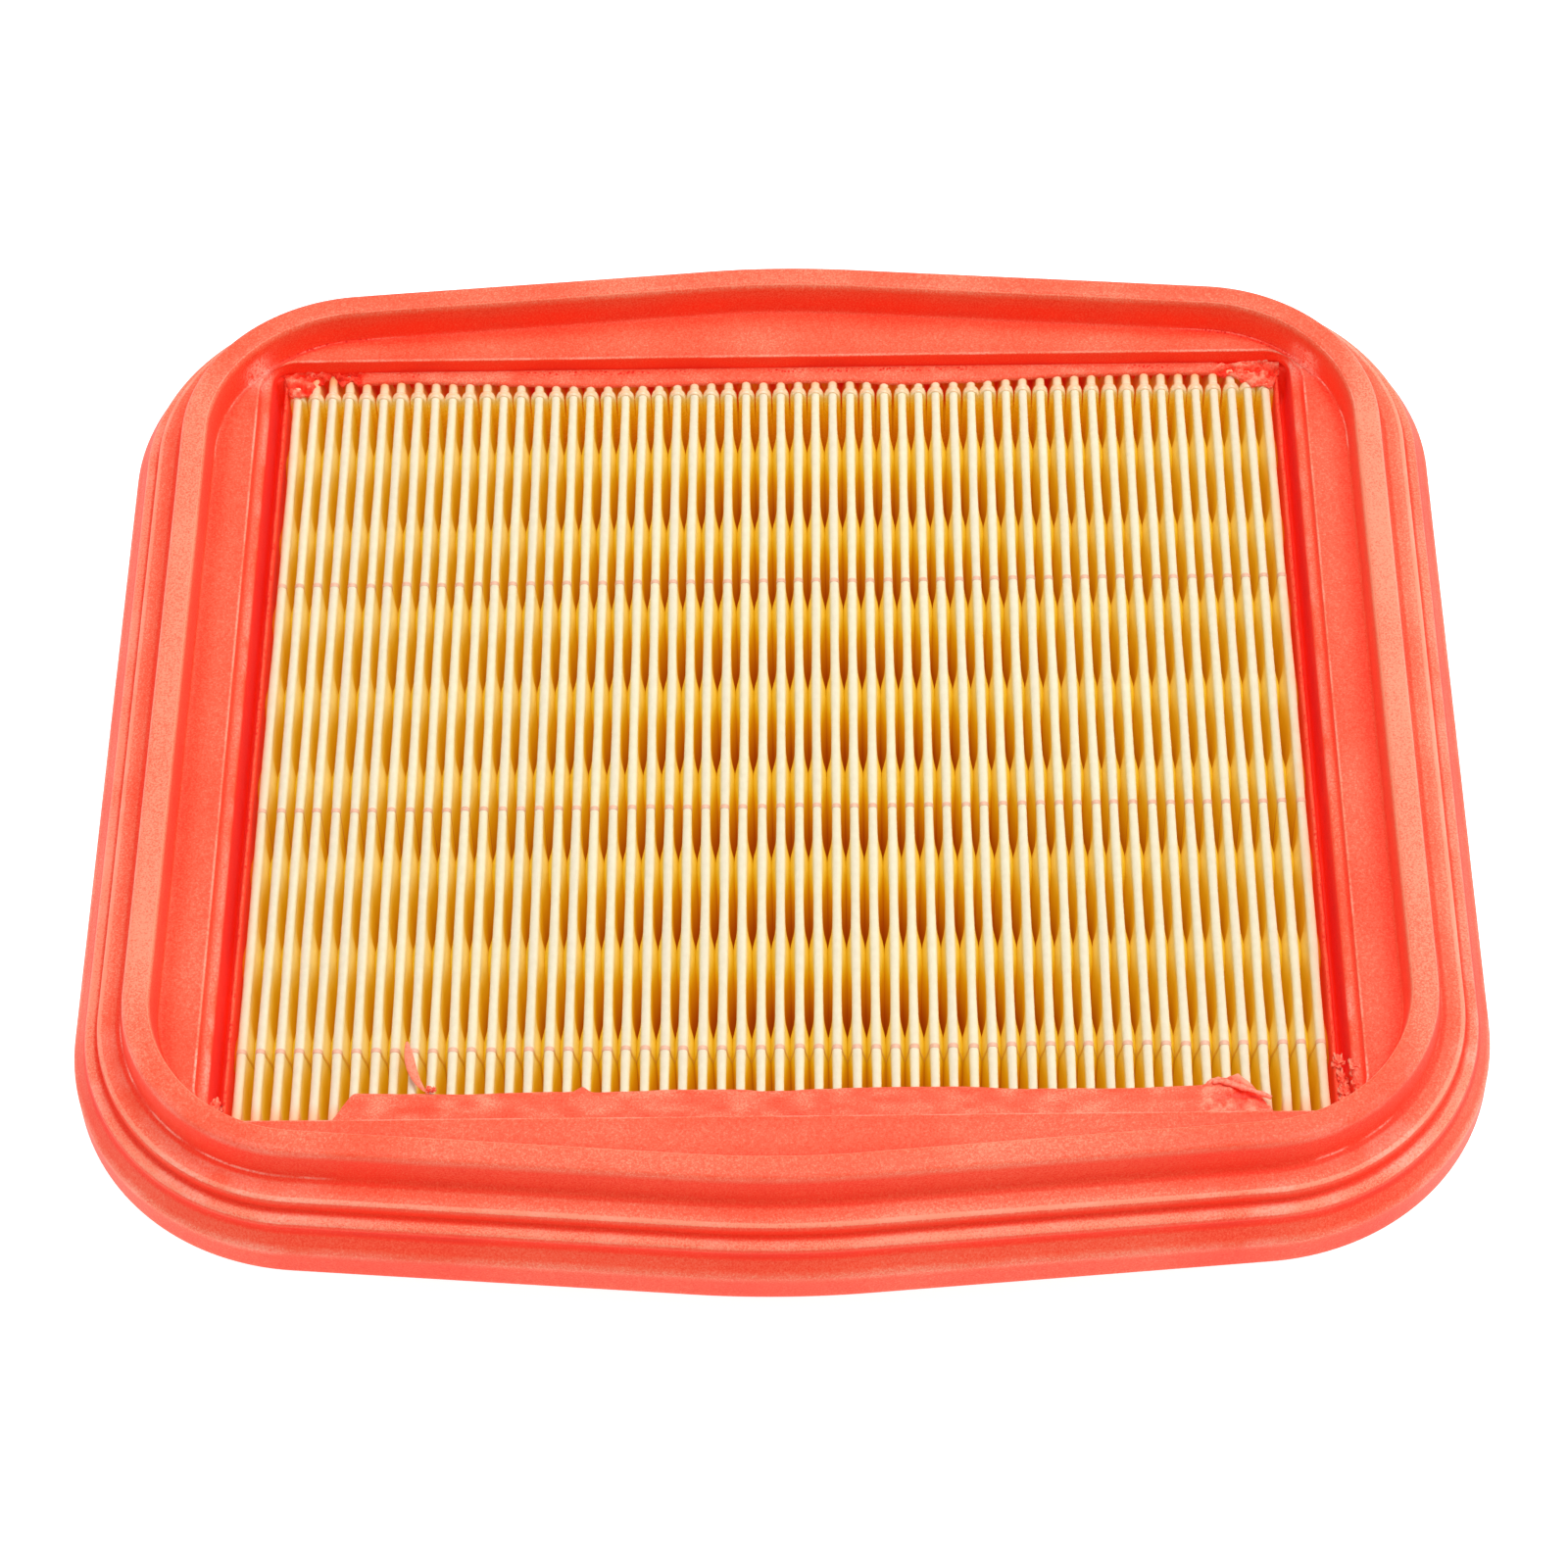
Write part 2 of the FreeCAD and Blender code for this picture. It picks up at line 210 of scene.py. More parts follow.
def object_place(tree, node):
    """Puts a texture in the object's own space."""
    place = tree.nodes.new("ShaderNodeTexCoord")
    tree.links.new(place.outputs["Object"], node.inputs["Vector"])


def noise_node(tree, scale, detail=4.0, roughness=0.6):
    noise = tree.nodes.new("ShaderNodeTexNoise")
    noise.inputs["Scale"].default_value = scale
    noise.inputs["Detail"].default_value = detail
    noise.inputs["Roughness"].default_value = roughness
    object_place(tree, noise)
    return noise.outputs["Fac"]


def ramp_node(tree, source, stops):
    ramp = tree.nodes.new("ShaderNodeValToRGB")
    tree.links.new(source, ramp.inputs["Fac"])
    while len(ramp.color_ramp.elements) < len(stops):
        ramp.color_ramp.elements.new(0.5)
    for element, (position, colour) in zip(ramp.color_ramp.elements, stops):
        element.position = position
        element.color = (*colour, 1.0)
    return ramp.outputs["Color"]


def feed(tree, socket, value):
    """Gives a socket another node's output, a number or a colour."""
    if hasattr(value, "is_output"):
        tree.links.new(value, socket)
    elif isinstance(value, (int, float)):
        socket.default_value = value
    else:
        socket.default_value = (*value, 1.0)


def mix_node(tree, factor, first, second, blend="MIX"):
    mix = tree.nodes.new("ShaderNodeMix")
    mix.data_type = "RGBA"
    mix.blend_type = blend
    feed(tree, mix.inputs["Factor"], factor)
    feed(tree, mix.inputs["A"], first)
    feed(tree, mix.inputs["B"], second)
    return mix.outputs["Result"]


def math_node(tree, operation, *values):
    node = tree.nodes.new("ShaderNodeMath")
    node.operation = operation
    for socket, value in zip(node.inputs, values):
        feed(tree, socket, value)
    return node.outputs["Value"]


def attribute_node(tree, name):
    attribute = tree.nodes.new("ShaderNodeAttribute")
    attribute.attribute_name = name
    return attribute.outputs["Fac"]


def bump_node(tree, height, strength, distance, normal=None):
    bump = tree.nodes.new("ShaderNodeBump")
    bump.inputs["Strength"].default_value = strength
    bump.inputs["Distance"].default_value = distance
    tree.links.new(height, bump.inputs["Height"])
    if normal is not None:
        tree.links.new(normal, bump.inputs["Normal"])
    return bump.outputs["Normal"]


def light_through(material, shader, glow, strength=1.0):
    """A faint emission that stands for light coming through.  It is not sampled as a
    lamp, which keeps the render clean."""
    material.node_tree.links.new(glow, shader.inputs["Emission Color"])
    shader.inputs["Emission Strength"].default_value = strength
    material.cycles.emission_sampling = "NONE"


def scuff_and_highlight_mask(tree):
    """The stored scuffing and painted highlight lines, broken up by fine noise."""
    scratch = noise_node(tree, 2400.0, 5.0, 0.75)
    broken = ramp_node(tree, scratch, [(0.38, BLACK), (0.56, WHITE)])
    return math_node(tree, "MULTIPLY", attribute_node(tree, "scuff_and_highlight"), broken)


def pit_mask(tree):
    """Round pits where they are stored."""
    bubble = tree.nodes.new("ShaderNodeTexVoronoi")
    bubble.inputs["Scale"].default_value = 1600.0
    object_place(tree, bubble)
    hole = ramp_node(tree, bubble.outputs["Distance"], [(0.28, WHITE), (0.44, BLACK)])
    return math_node(tree, "MULTIPLY", attribute_node(tree, "pits"), hole)


def foam_material():
    """Orange-red moulded polyurethane skin: faint speckle, soft cloudy patches, a stored tone that
    paints shade in creases and hollows and highlights on crests, pale scuffing with painted
    highlight lines and, in its hollows, a little light coming through the foam."""
    material, tree, shader = new_material("moulded_polyurethane")
    speckle = noise_node(tree, 3200.0, 3.0, 0.85)
    cloud = noise_node(tree, 60.0, 5.0)
    stored = attribute_node(tree, "tone")
    tone = math_node(tree, "MULTIPLY_ADD", speckle, SPECKLE_GAIN, stored)
    tone = math_node(tree, "MULTIPLY_ADD", cloud, CLOUD_GAIN, tone)
    tone = math_node(tree, "SUBTRACT", tone, (SPECKLE_GAIN + CLOUD_GAIN) / 2)
    pit = pit_mask(tree)
    colour = ramp_node(tree, tone, FOAM_TONES)
    colour = mix_node(tree, scuff_and_highlight_mask(tree), colour, SCUFF_AND_HIGHLIGHT_COLOUR)
    # The pits are painted dark red: painted shade inside them.
    colour = mix_node(tree, pit, colour, PIT_SHADE_COLOUR)
    tree.links.new(colour, shader.inputs["Base Color"])
    glow = ramp_node(tree, math_node(tree, "ADD", stored, 0.2), FOAM_GLOW)
    light_through(material, shader, mix_node(tree, pit, glow, PIT_GLOW))
    shader.inputs["Roughness"].default_value = 0.50
    shader.inputs["Specular IOR Level"].default_value = 0.22
    shader.inputs["Sheen Weight"].default_value = 0.05
    shader.inputs["Sheen Roughness"].default_value = 0.5
    normal = bump_node(tree, speckle, 0.50, 0.00012)
    normal = bump_node(tree, cloud, 0.3, 0.0006, normal)
    normal = bump_node(tree, pit, -0.12, 0.00006, normal)
    tree.links.new(normal, shader.inputs["Normal"])
    return material


def paper_material():
    """Resin-cured filter paper, cream to pale yellow, with painted shade that turns it golden and
    then brown down the folds, and a little light coming through the sheet deep in the folds."""
    material, tree, shader = new_material("filter_paper")
    depth = attribute_node(tree, "depth")
    soak = attribute_node(tree, "soak")
    fibre = noise_node(tree, 3200.0, 4.0)
    pulp = noise_node(tree, 700.0, 5.0)
    mottled = ramp_node(tree, pulp, [(0.35, (0.93, 0.92, 0.89)), (0.65, WHITE)])
    colour = mix_node(tree, 0.8, ramp_node(tree, depth, PAPER_TONES), mottled, "MULTIPLY")
    colour = mix_node(tree, soak, colour, ramp_node(tree, depth, SOAK_TONES))
    tree.links.new(colour, shader.inputs["Base Color"])
    glow = ramp_node(tree, depth, PAPER_GLOW)
    glow = mix_node(tree, soak, glow, ramp_node(tree, depth, SOAK_GLOW))
    light_through(material, shader, glow)
    shader.inputs["Roughness"].default_value = 0.85
    shader.inputs["Specular IOR Level"].default_value = 0.15
    normal = bump_node(tree, fibre, 0.35, 0.00008)
    normal = bump_node(tree, pulp, 0.3, 0.00015, normal)
    tree.links.new(normal, shader.inputs["Normal"])
    return material


def glue_material(name, tones, roughness, clear, glow_strength):
    """Cooled hot-melt glue: pale on the pleat tips, with painted shade that turns it golden down the
    folds, and a faint emission for light coming through.
    """
    material, tree, shader = new_material(name)
    depth = attribute_node(tree, "depth")
    cloud = noise_node(tree, 900.0, 4.0)
    mottled = ramp_node(tree, cloud, [(0.35, (0.96, 0.88, 0.82)), (0.65, WHITE)])
    colour = mix_node(tree, 0.8, ramp_node(tree, depth, tones), mottled, "MULTIPLY")
    tree.links.new(colour, shader.inputs["Base Color"])
    light_through(material, shader, ramp_node(tree, depth, PAPER_GLOW), glow_strength)
    shader.inputs["Coat Weight"].default_value = clear
    shader.inputs["Coat Roughness"].default_value = 0.1
    rough = tree.nodes.new("ShaderNodeMapRange")
    rough.inputs["To Min"].default_value = roughness - 0.08
    rough.inputs["To Max"].default_value = roughness + 0.12
    tree.links.new(cloud, rough.inputs["Value"])
    tree.links.new(rough.outputs["Result"], shader.inputs["Roughness"])
    normal = bump_node(tree, cloud, 0.3, 0.0001)
    tree.links.new(normal, shader.inputs["Normal"])
    return material


# Colours by tone (foam) or by depth down the fold (paper and glue). Darker tones and greater depths
# are painted shade, and the palest foam tones are painted highlights.
WHITE = (1.0, 1.0, 1.0)
BLACK = (0.0, 0.0, 0.0)
SPECKLE_GAIN = 1.75
CLOUD_GAIN = 0.22
# Pale colour of scuffing and painted highlight lines, and dark red painted into the pits as their
# shade, with their glow.
SCUFF_AND_HIGHLIGHT_COLOUR = (0.98, 0.46, 0.35)
PIT_SHADE_COLOUR = (0.55, 0.012, 0.004)
PIT_GLOW = (0.30, 0.004, 0.001)
FOAM_TONES = [(0.0, (0.82, 0.024, 0.005)), (0.35, (0.89, 0.068, 0.026)),
              (0.65, (0.90, 0.125, 0.060)), (1.0, (0.91, 0.29, 0.175))]
FOAM_GLOW = [(0.00, (0.11, 0.0, 0.0)), (0.13, (0.11, 0.001, 0.0)), (0.25, (0.24, 0.008, 0.001)),
             (0.42, (0.14, 0.005, 0.001)), (0.60, (0.08, 0.004, 0.001)), (1.0, (0.06, 0.004, 0.002))]
PAPER_TONES = [(0.00, (0.775, 0.70, 0.535)), (0.008, (0.82, 0.745, 0.54)),
               (0.022, (0.84, 0.72, 0.45)), (0.045, (0.84, 0.68, 0.33)),
               (0.070, (0.82, 0.64, 0.22)), (0.100, (0.79, 0.57, 0.12)),
               (0.15, (0.71, 0.48, 0.03)), (0.30, (0.61, 0.31, 0.005)),
               (0.60, (0.50, 0.17, 0.003)), (1.0, (0.38, 0.07, 0.002))]
PAPER_GLOW = [(0.005, BLACK), (0.03, (0.07, 0.05, 0.008)), (0.07, (0.15, 0.105, 0.010)),
              (0.13, (0.21, 0.140, 0.003)), (0.22, (0.25, 0.132, 0.001)),
              (0.42, (0.23, 0.084, 0.0005)), (0.65, (0.185, 0.038, 0.0003)),
              (1.0, (0.13, 0.013, 0.0002))]
SOAK_GLOW = [(0.03, BLACK), (0.12, (0.16, 0.003, 0.001)), (1.0, (0.12, 0.002, 0.001))]
SOAK_TONES = [(0.0, (0.88, 0.42, 0.17)), (0.04, (0.86, 0.26, 0.08)), (0.12, (0.72, 0.03, 0.006)),
              (1.0, (0.45, 0.008, 0.002))]
THREAD_TONES = [(0.0, (0.86, 0.52, 0.39)), (0.03, (0.68, 0.38, 0.21)),
                (0.08, (0.70, 0.40, 0.09)), (1.0, (0.50, 0.14, 0.01))]
BEAD_TONES = [(0.0, (0.86, 0.70, 0.52)), (0.015, (0.86, 0.58, 0.33)), (0.03, (0.86, 0.68, 0.46)),
              (0.10, (0.86, 0.64, 0.34)), (0.15, (0.80, 0.51, 0.14)),
              (0.24, (0.70, 0.36, 0.03)), (1.0, (0.55, 0.14, 0.01))]


FOAM = foam_material()
PAPER_LOOK = paper_material()
THREAD_LOOK = glue_material("thread_glue", THREAD_TONES, 0.45, 0.0, 0.55)
BEAD_LOOK = glue_material("bead_glue", BEAD_TONES, 0.25, 0.35, 1.0)


def foam_piece(name, points, quads, tone, scuff_and_highlight=0.0, pits=0.0, replaces=()):
    """A piece of the moulding; its tone (with painted shade and light), its scuffing with painted
    highlight lines and its pits are numbers or arrays.
    """
    values = {"tone": tone, "scuff_and_highlight": scuff_and_highlight, "pits": pits}
    values = {key: np.full(len(points), value) if np.isscalar(value) else value
              for key, value in values.items()}
    return make_piece(name, points, quads, FOAM, replaces, values)


# ---------------------------------------------------------------- frame outlines

SIDE_STEPS, CORNER_STEPS, END_STEPS = 64, 40, 76


def quarter_steps():
    """Fractions along the side, the corner and the long end of one quarter."""
    side = np.linspace(0, 1, SIDE_STEPS, endpoint=False)
    corner = np.linspace(0, 1, CORNER_STEPS, endpoint=False)
    return side, corner, np.linspace(0, 1, END_STEPS + 1)


def all_quarters(quarter):
    """Reflect one quarter, from the middle of the right side to the middle of the rear,
    into a closed loop that runs anticlockwise."""
    back = quarter[::-1]
    return np.concatenate([quarter, back[1:] * [-1, 1], quarter[1:] * [-1, -1],
                           back[1:-1] * [1, -1]])


def rim_outline():
    """Points and outward normals of the rim's outer edge."""
    steep = math.pi / 2 - SIDE_SLOPE
    centre_x = RIM_HALF_X - CORNER_ROUND
    blunt_y = RIM_TIP_Y - TIP_ROUND
    slope, lean = math.tan(SIDE_SLOPE), math.cos(SIDE_SLOPE)
    centre_y = blunt_y + (TIP_ROUND - CORNER_ROUND) / lean - slope * centre_x
    side, corner, end = quarter_steps()
    places = [(RIM_HALF_X, centre_y * part, 1.0, 0.0) for part in side]
    for part in corner:
        across, ahead = math.cos(steep * part), math.sin(steep * part)
        places.append((centre_x + CORNER_ROUND * across, centre_y + CORNER_ROUND * ahead,
                       across, ahead))
    start_x = centre_x + CORNER_ROUND * math.cos(steep)
    start_y = centre_y + CORNER_ROUND * math.sin(steep)
    tip_x = TIP_ROUND * math.cos(steep)
    for part in end:
        x = start_x * (1 - part)
        if x > tip_x:
            y, turn = start_y + (start_x - x) * slope, SIDE_SLOPE
        else:
            turn = math.asin(x / TIP_ROUND)
            y = blunt_y + TIP_ROUND * math.cos(turn)
        places.append((x, y, math.sin(turn), math.cos(turn)))
    places = np.array(places)
    return all_quarters(places[:, :2]), all_quarters(places[:, 2:])


def rectangle_loop(half_x, half_y, radius):
    """A rounded rectangle with the same number of points, in the same order."""
    side, corner, end = quarter_steps()
    points = [(half_x, (half_y - radius) * part) for part in side]
    for part in corner:
        turn = math.pi / 2 * part
        points.append((half_x - radius + radius * math.cos(turn),
                       half_y - radius + radius * math.sin(turn)))
    points += [((half_x - radius) * (1 - part), half_y) for part in end]
    return all_quarters(np.array(points))


RIM_POINTS, RIM_NORMALS = rim_outline()
LOOP = len(RIM_POINTS)


def offset_ring(out, height):
    """A ring a distance outside the rim's edge, at a height above the base."""
    plan = RIM_POINTS + RIM_NORMALS * out
    return np.column_stack([plan, np.full(LOOP, height)])


def step_ring(side_x, end_y, radius, side_height, end_height):
    """A ring round the window whose height differs at the sides and the ends."""
    plan = rectangle_loop(side_x, end_y, radius)
    towards_end = smooth_step(PACK_HALF_Y - 3.2, PACK_HALF_Y - 1.4, np.abs(plan[:, 1]))
    height = side_height * (1 - towards_end) + end_height * towards_end
    return np.column_stack([plan, height])


def arc(out, drop, radius, begin, end, count):
    """Points (out, drop) of an arc round a centre.  Angles are in degrees, from straight
    out, and grow upwards."""
    return [(out + radius * math.cos(turn), drop - radius * math.sin(turn))
            for turn in np.radians(np.linspace(begin, end, count))]


def blend(first, second, count):
    """Rings or points between two others, both left out."""
    parts = np.linspace(0, 1, count + 2)[1:-1]
    return [first * (1 - part) + second * part for part in parts]


def line(start, end, count):
    """Points between two corners of the section."""
    return blend(np.array(start), np.array(end), count)


# How much a ring is scuffed, with painted highlight lines on crests and edges: all the way round, at
# the rear corners, at the front corners.
CLEAN = (0.0, 0.0, 0.0)


def outer_sections():
    """The section from the floor, over the rim, down to the flange, as runs of points
    (out from the rim's edge, drop below its top) with the run's tone and scuffing.  The tones
    paint shade and light: dark walls and creases, pale crests; the scuffing adds painted
    highlight lines on crests and edges."""
    return [
        (arc(-5.15, 5.15, 0.75, 270, 295, 3), 0.24, CLEAN),
        (arc(-5.15, 5.15, 0.75, 308, 308, 1), 0.30, (0.0, 1.8, 0.1)),
        (arc(-5.15, 5.15, 0.75, 322, 348, 3), 0.08, CLEAN),
        (line((-4.42, 4.95), (-4.15, 2.6), 2), 0.05, CLEAN),
        (line((-4.15, 2.6), (-3.98, 0.9), 2), 0.22, CLEAN),
        (arc(-3.05, 0.75, 0.9, 172, 150, 2), 0.62, CLEAN),
        (arc(-3.05, 0.75, 0.9, 140, 140, 1), 0.85, (0.05, 0.9, 0.05)),
        (arc(-3.05, 0.75, 0.9, 128, 112, 2), 0.60, (0.0, 0.1, 0.0)),
        ([(-2.6, 0.02), (-1.9, 0.0), (-1.2, 0.02)], 0.56, CLEAN),
        (arc(-0.78, 0.82, 0.82, 72, 5, 5), 0.56, (0.05, 0.1, 0.15)),
        (line((0.06, 0.9), (0.5, 4.4), 4), 0.16, CLEAN),
        (arc(1.55, 4.45, 1.05, 185, 215, 3), 0.12, CLEAN),
        (arc(1.55, 4.45, 1.05, 228, 228, 1), 0.20, (0.0, 0.3, 1.0)),
        (arc(1.55, 4.45, 1.05, 240, 262, 2), 0.16, CLEAN),
        (line((1.4, 5.52), (2.9, 5.85), 3), 0.52, (0.0, 0.0, 0.25)),
        ([(3.25, 5.95), (3.6, 6.05)], 0.64, (0.05, 0.1, 0.2)),
        (arc(3.72, 6.75, 0.72, 82, 40, 3), 0.95, (0.25, 0.2, 0.4)),
        (arc(3.72, 6.75, 0.72, 25, 0, 2), 0.45, CLEAN),
        ([(4.42, 7.35), (4.40, 7.9)] + arc(4.80, 8.05, 0.42, 180, 262, 4), 0.18, CLEAN),
        ([(5.3, 8.52)] + arc(5.72, 9.35, 0.86, 80, 35, 4), 0.85, (0.2, 0.2, 0.4)),
        (arc(5.72, 9.35, 0.86, 20, -8, 3), 0.45, CLEAN),
        ([(6.55, 9.75), (6.58, 10.05), (6.80, 10.42)], 0.05, CLEAN),
        (line((6.80, 10.42), (8.20, 12.5), 4), 0.44, CLEAN),
        (arc(7.60, 13.30, 1.05, 38, 0, 5), 0.70, (0.1, 0.1, 0.2)),
        (line((8.65, 13.6), (8.67, 17.7), 5), 0.40, CLEAN),
        (arc(8.07, 17.80, 0.60, 0, -90, 6), 0.45, CLEAN),
    ]


def window_rings():
    """Rings (ring, tone, scuffing with painted highlight lines, pits) from inside the window up
    to the floor's edge.  The tones paint shade and light: dark in the slot and on the walls,
    pale highlight lines on the ledge's edge.  Rows give the half width, half length and
    corner radius, then the heights at the sides and at the ends."""
    rings = []

    def add(side, end, corner, side_height, end_height, tone, scuff_and_highlight=0.0, pits=0.0):
        ring = step_ring(side, end, corner, side_height, end_height)
        rings.append((ring, tone, (scuff_and_highlight, scuff_and_highlight, scuff_and_highlight), pits))

    for height, tone in ((0.35, 0.4), (4.0, 0.4), (12.0, 0.4), (16.0, 0.30), (18.5, -0.02),
                         (TIP_LEVEL - 1.2, -0.05)):
        add(PACK_HALF_X + 0.02, PACK_HALF_Y + 0.02, 0.5, height, height, tone)
    lip = [(79.92, 72.33, 0.6, -0.35, -0.40), (80.10, 72.35, 0.7, -0.12, -0.10),
           (80.32, 72.37, 0.8, -0.20, 0.05), (80.46, 72.38, 0.9, -0.60, 0.15),
           (80.55, 72.39, 1.0, -1.30, 0.18), (80.60, 72.39, 1.0, -2.20, 0.20)]
    for side, end, corner, side_rise, end_rise in lip:
        add(side, end, corner, TIP_LEVEL + side_rise, TIP_LEVEL + end_rise, 0.40, pits=1.0)
    slot = [(80.70, 72.40, 1.2, 18.7, 0.25), (81.00, 72.41, 1.4, 18.1, 0.30),
            (81.40, 72.42, 1.7, 18.0, 0.35), (81.75, 72.43, 2.0, 18.4, 0.42),
            (81.95, 72.44, 2.4, 20.0, 0.60), (82.10, 72.45, 3.0, 22.0, 1.00),
            (82.30, 72.46, 3.4, 23.8, 1.50)]
    for side, end, corner, height, end_rise in slot:
        add(side, end, corner, height, TIP_LEVEL + end_rise, -0.10)
    band = [(82.45, 72.47, 3.8, 24.55, 1.90, 0.45, 0.30),
            (82.75, 72.48, 4.3, 24.85, 2.20, 0.55, 0.30),
            (83.40, 72.49, 5.0, 24.95, 2.50, 0.50, 0.0),
            (83.80, 72.50, 5.6, 25.02, 2.75, 0.15, 0.0),
            (83.98, 72.51, 5.9, 25.30, 2.85, 0.10, 0.0)]
    for side, end, corner, height, end_rise, tone, scuff_and_highlight in band:
        add(side, end, corner, height, TIP_LEVEL + end_rise, tone, scuff_and_highlight)
    edge = [(84.08, 72.54, 6.1, 0.30, 0.20, 0.0), (84.14, 72.60, 6.2, 0.14, 0.70, 0.55),
            (84.26, 72.72, 6.3, 0.03, 0.72, 0.45), (84.50, 72.95, 6.6, 0.00, 0.45, 0.0)]
    for side, end, corner, drop, tone, scuff_and_highlight in edge:
        add(side, end, corner, FLOOR_LEVEL - drop, FLOOR_LEVEL - drop, tone, scuff_and_highlight)
    return rings


def under_rings(low):
    """Rings (ring, tone, scuffing and highlight lines, pits) from the flange's underside to the
    skirt's foot.
    """
    tone = 0.4
    top = step_ring(SKIRT_HALF_X, SKIRT_HALF_Y, SKIRT_ROUND, FLANGE_UNDER, FLANGE_UNDER)
    rings = [(ring, tone, CLEAN, 0.0) for ring in blend(low, top, 8)]
    skirt = ((0.0, FLANGE_UNDER - 0.5), (0.0, 10.0), (0.0, 6.0), (0.0, 2.0), (0.0, 0.9),
             (-0.15, 0.35), (-0.45, 0.06), (-0.9, 0.0), (-1.7, 0.0), (-2.2, 0.0))
    for out, height in skirt:
        ring = step_ring(SKIRT_HALF_X + out, SKIRT_HALF_Y + out, SKIRT_ROUND + out, height,
                         height)
        rings.append((ring, tone, CLEAN, 0.0))
    foot = step_ring(PACK_HALF_X + 0.35, PACK_HALF_Y + 0.2, 0.8, 0.0, 0.0)
    rings.append((foot, 0.5, CLEAN, 0.4))
    return rings


# Tones of the floor's rings, from the window to the foot of the rim: painted shade, darker towards
# the rim's foot.
FLOOR_TONES = (0.48, 0.50, 0.50, 0.47, 0.42, 0.34, 0.26)


def frame_rings():
    """All rings of the moulding, from the window up, over the rim and back underneath."""
    rings = window_rings()
    sections = outer_sections()
    out, drop = sections[0][0][0]
    foot = offset_ring(out, TOTAL_HEIGHT - drop)
    floor = blend(rings[-1][0], foot, len(FLOOR_TONES))
    for ring, tone in zip(floor, FLOOR_TONES):
        rings.append((ring, tone, CLEAN, 0.0))
    for profile, tone, scuffs_and_highlights in sections:
        for out, drop in profile:
            rings.append((offset_ring(out, TOTAL_HEIGHT - drop), tone, scuffs_and_highlights, 0.0))
    return rings + under_rings(rings[-1][0])


# Numbers of the rings where the lip, the slot and the band end, and of the rim's foot.
LIP_RING, SLOT_RING, EDGE_RING, FOOT_RING = 11, 18, 25, 38


def torn_fill(x, y, ring):
    """How far torn foam fills the front ends of the slots, and its unevenness."""
    slot = ((ring >= LIP_RING) & (ring <= SLOT_RING)) * (np.abs(x) > PACK_HALF_X)
    left = smooth_step(66.8, 69.2, -y)
    right = 0.8 * smooth_step(61.0, 66.0, -y)
    torn = over_plan(x, y, 1.0, 25) + 0.6 * over_plan(x, y, 0.45, 26)
    return slot * np.where(x < 0, left, right), torn


def frame_scuff_and_highlight(x, y, z, scuffs_and_highlights, step):
    """Scuffing and painted highlight lines all round, at the rear and front corners, and worn
    patches at the corners of the window."""
    around, rear, front = scuffs_and_highlights
    corner = smooth_step(56.0, 74.0, np.abs(x)) * smooth_step(42.0, 58.0, np.abs(y))
    rear = rear * (0.3 + 0.7 * between(84.5, 94.5, x, 1.5))
    scuff_and_highlight = around + corner * np.where(y > 0, rear, front)
    scuff_and_highlight = scuff_and_highlight * smooth_step(-0.25, 0.45, over_plan(x, y, 3.5, 21)) * (1 - step)
    reach = np.hypot(np.abs(x) - 84.8, y - 69.8)
    worn = hump(0.0, 2.4, reach) * (z > 24.5) * (z < 29.0)
    return np.clip(scuff_and_highlight + worn * (1.0 + 0.6 * over_plan(x, y, 0.7, 28)), 0, 1)


def frame_shade(x, y, z):
    """What the place on the moulding adds to its tone: random patches, and painted light and shade:
    lighter rim tops at the sides, a lighter band beside the slots, the slots lighter on the left and
    darker on the right, and lighter floor at the front and rear ends towards the middle.
    """
    tone = 0.10 * over_plan(x, y, 11.0, 22)
    tone = tone + 0.20 * smooth_step(88.0, 93.0, np.abs(x)) * smooth_step(31.0, 31.6, z)
    beside = smooth_step(82.2, 83.4, np.abs(x)) * (1 - smooth_step(50.0, 70.0, np.abs(y)))
    tone = tone + beside * np.where(z > 24.3, 0.12, np.where(x < 0, 0.08, -0.08))
    ends = smooth_step(60.0, 80.0, np.abs(y)) * smooth_step(25.0, 26.0, z)
    return tone + 0.12 * ends * (1 - smooth_step(30.0, 85.0, np.abs(x)))


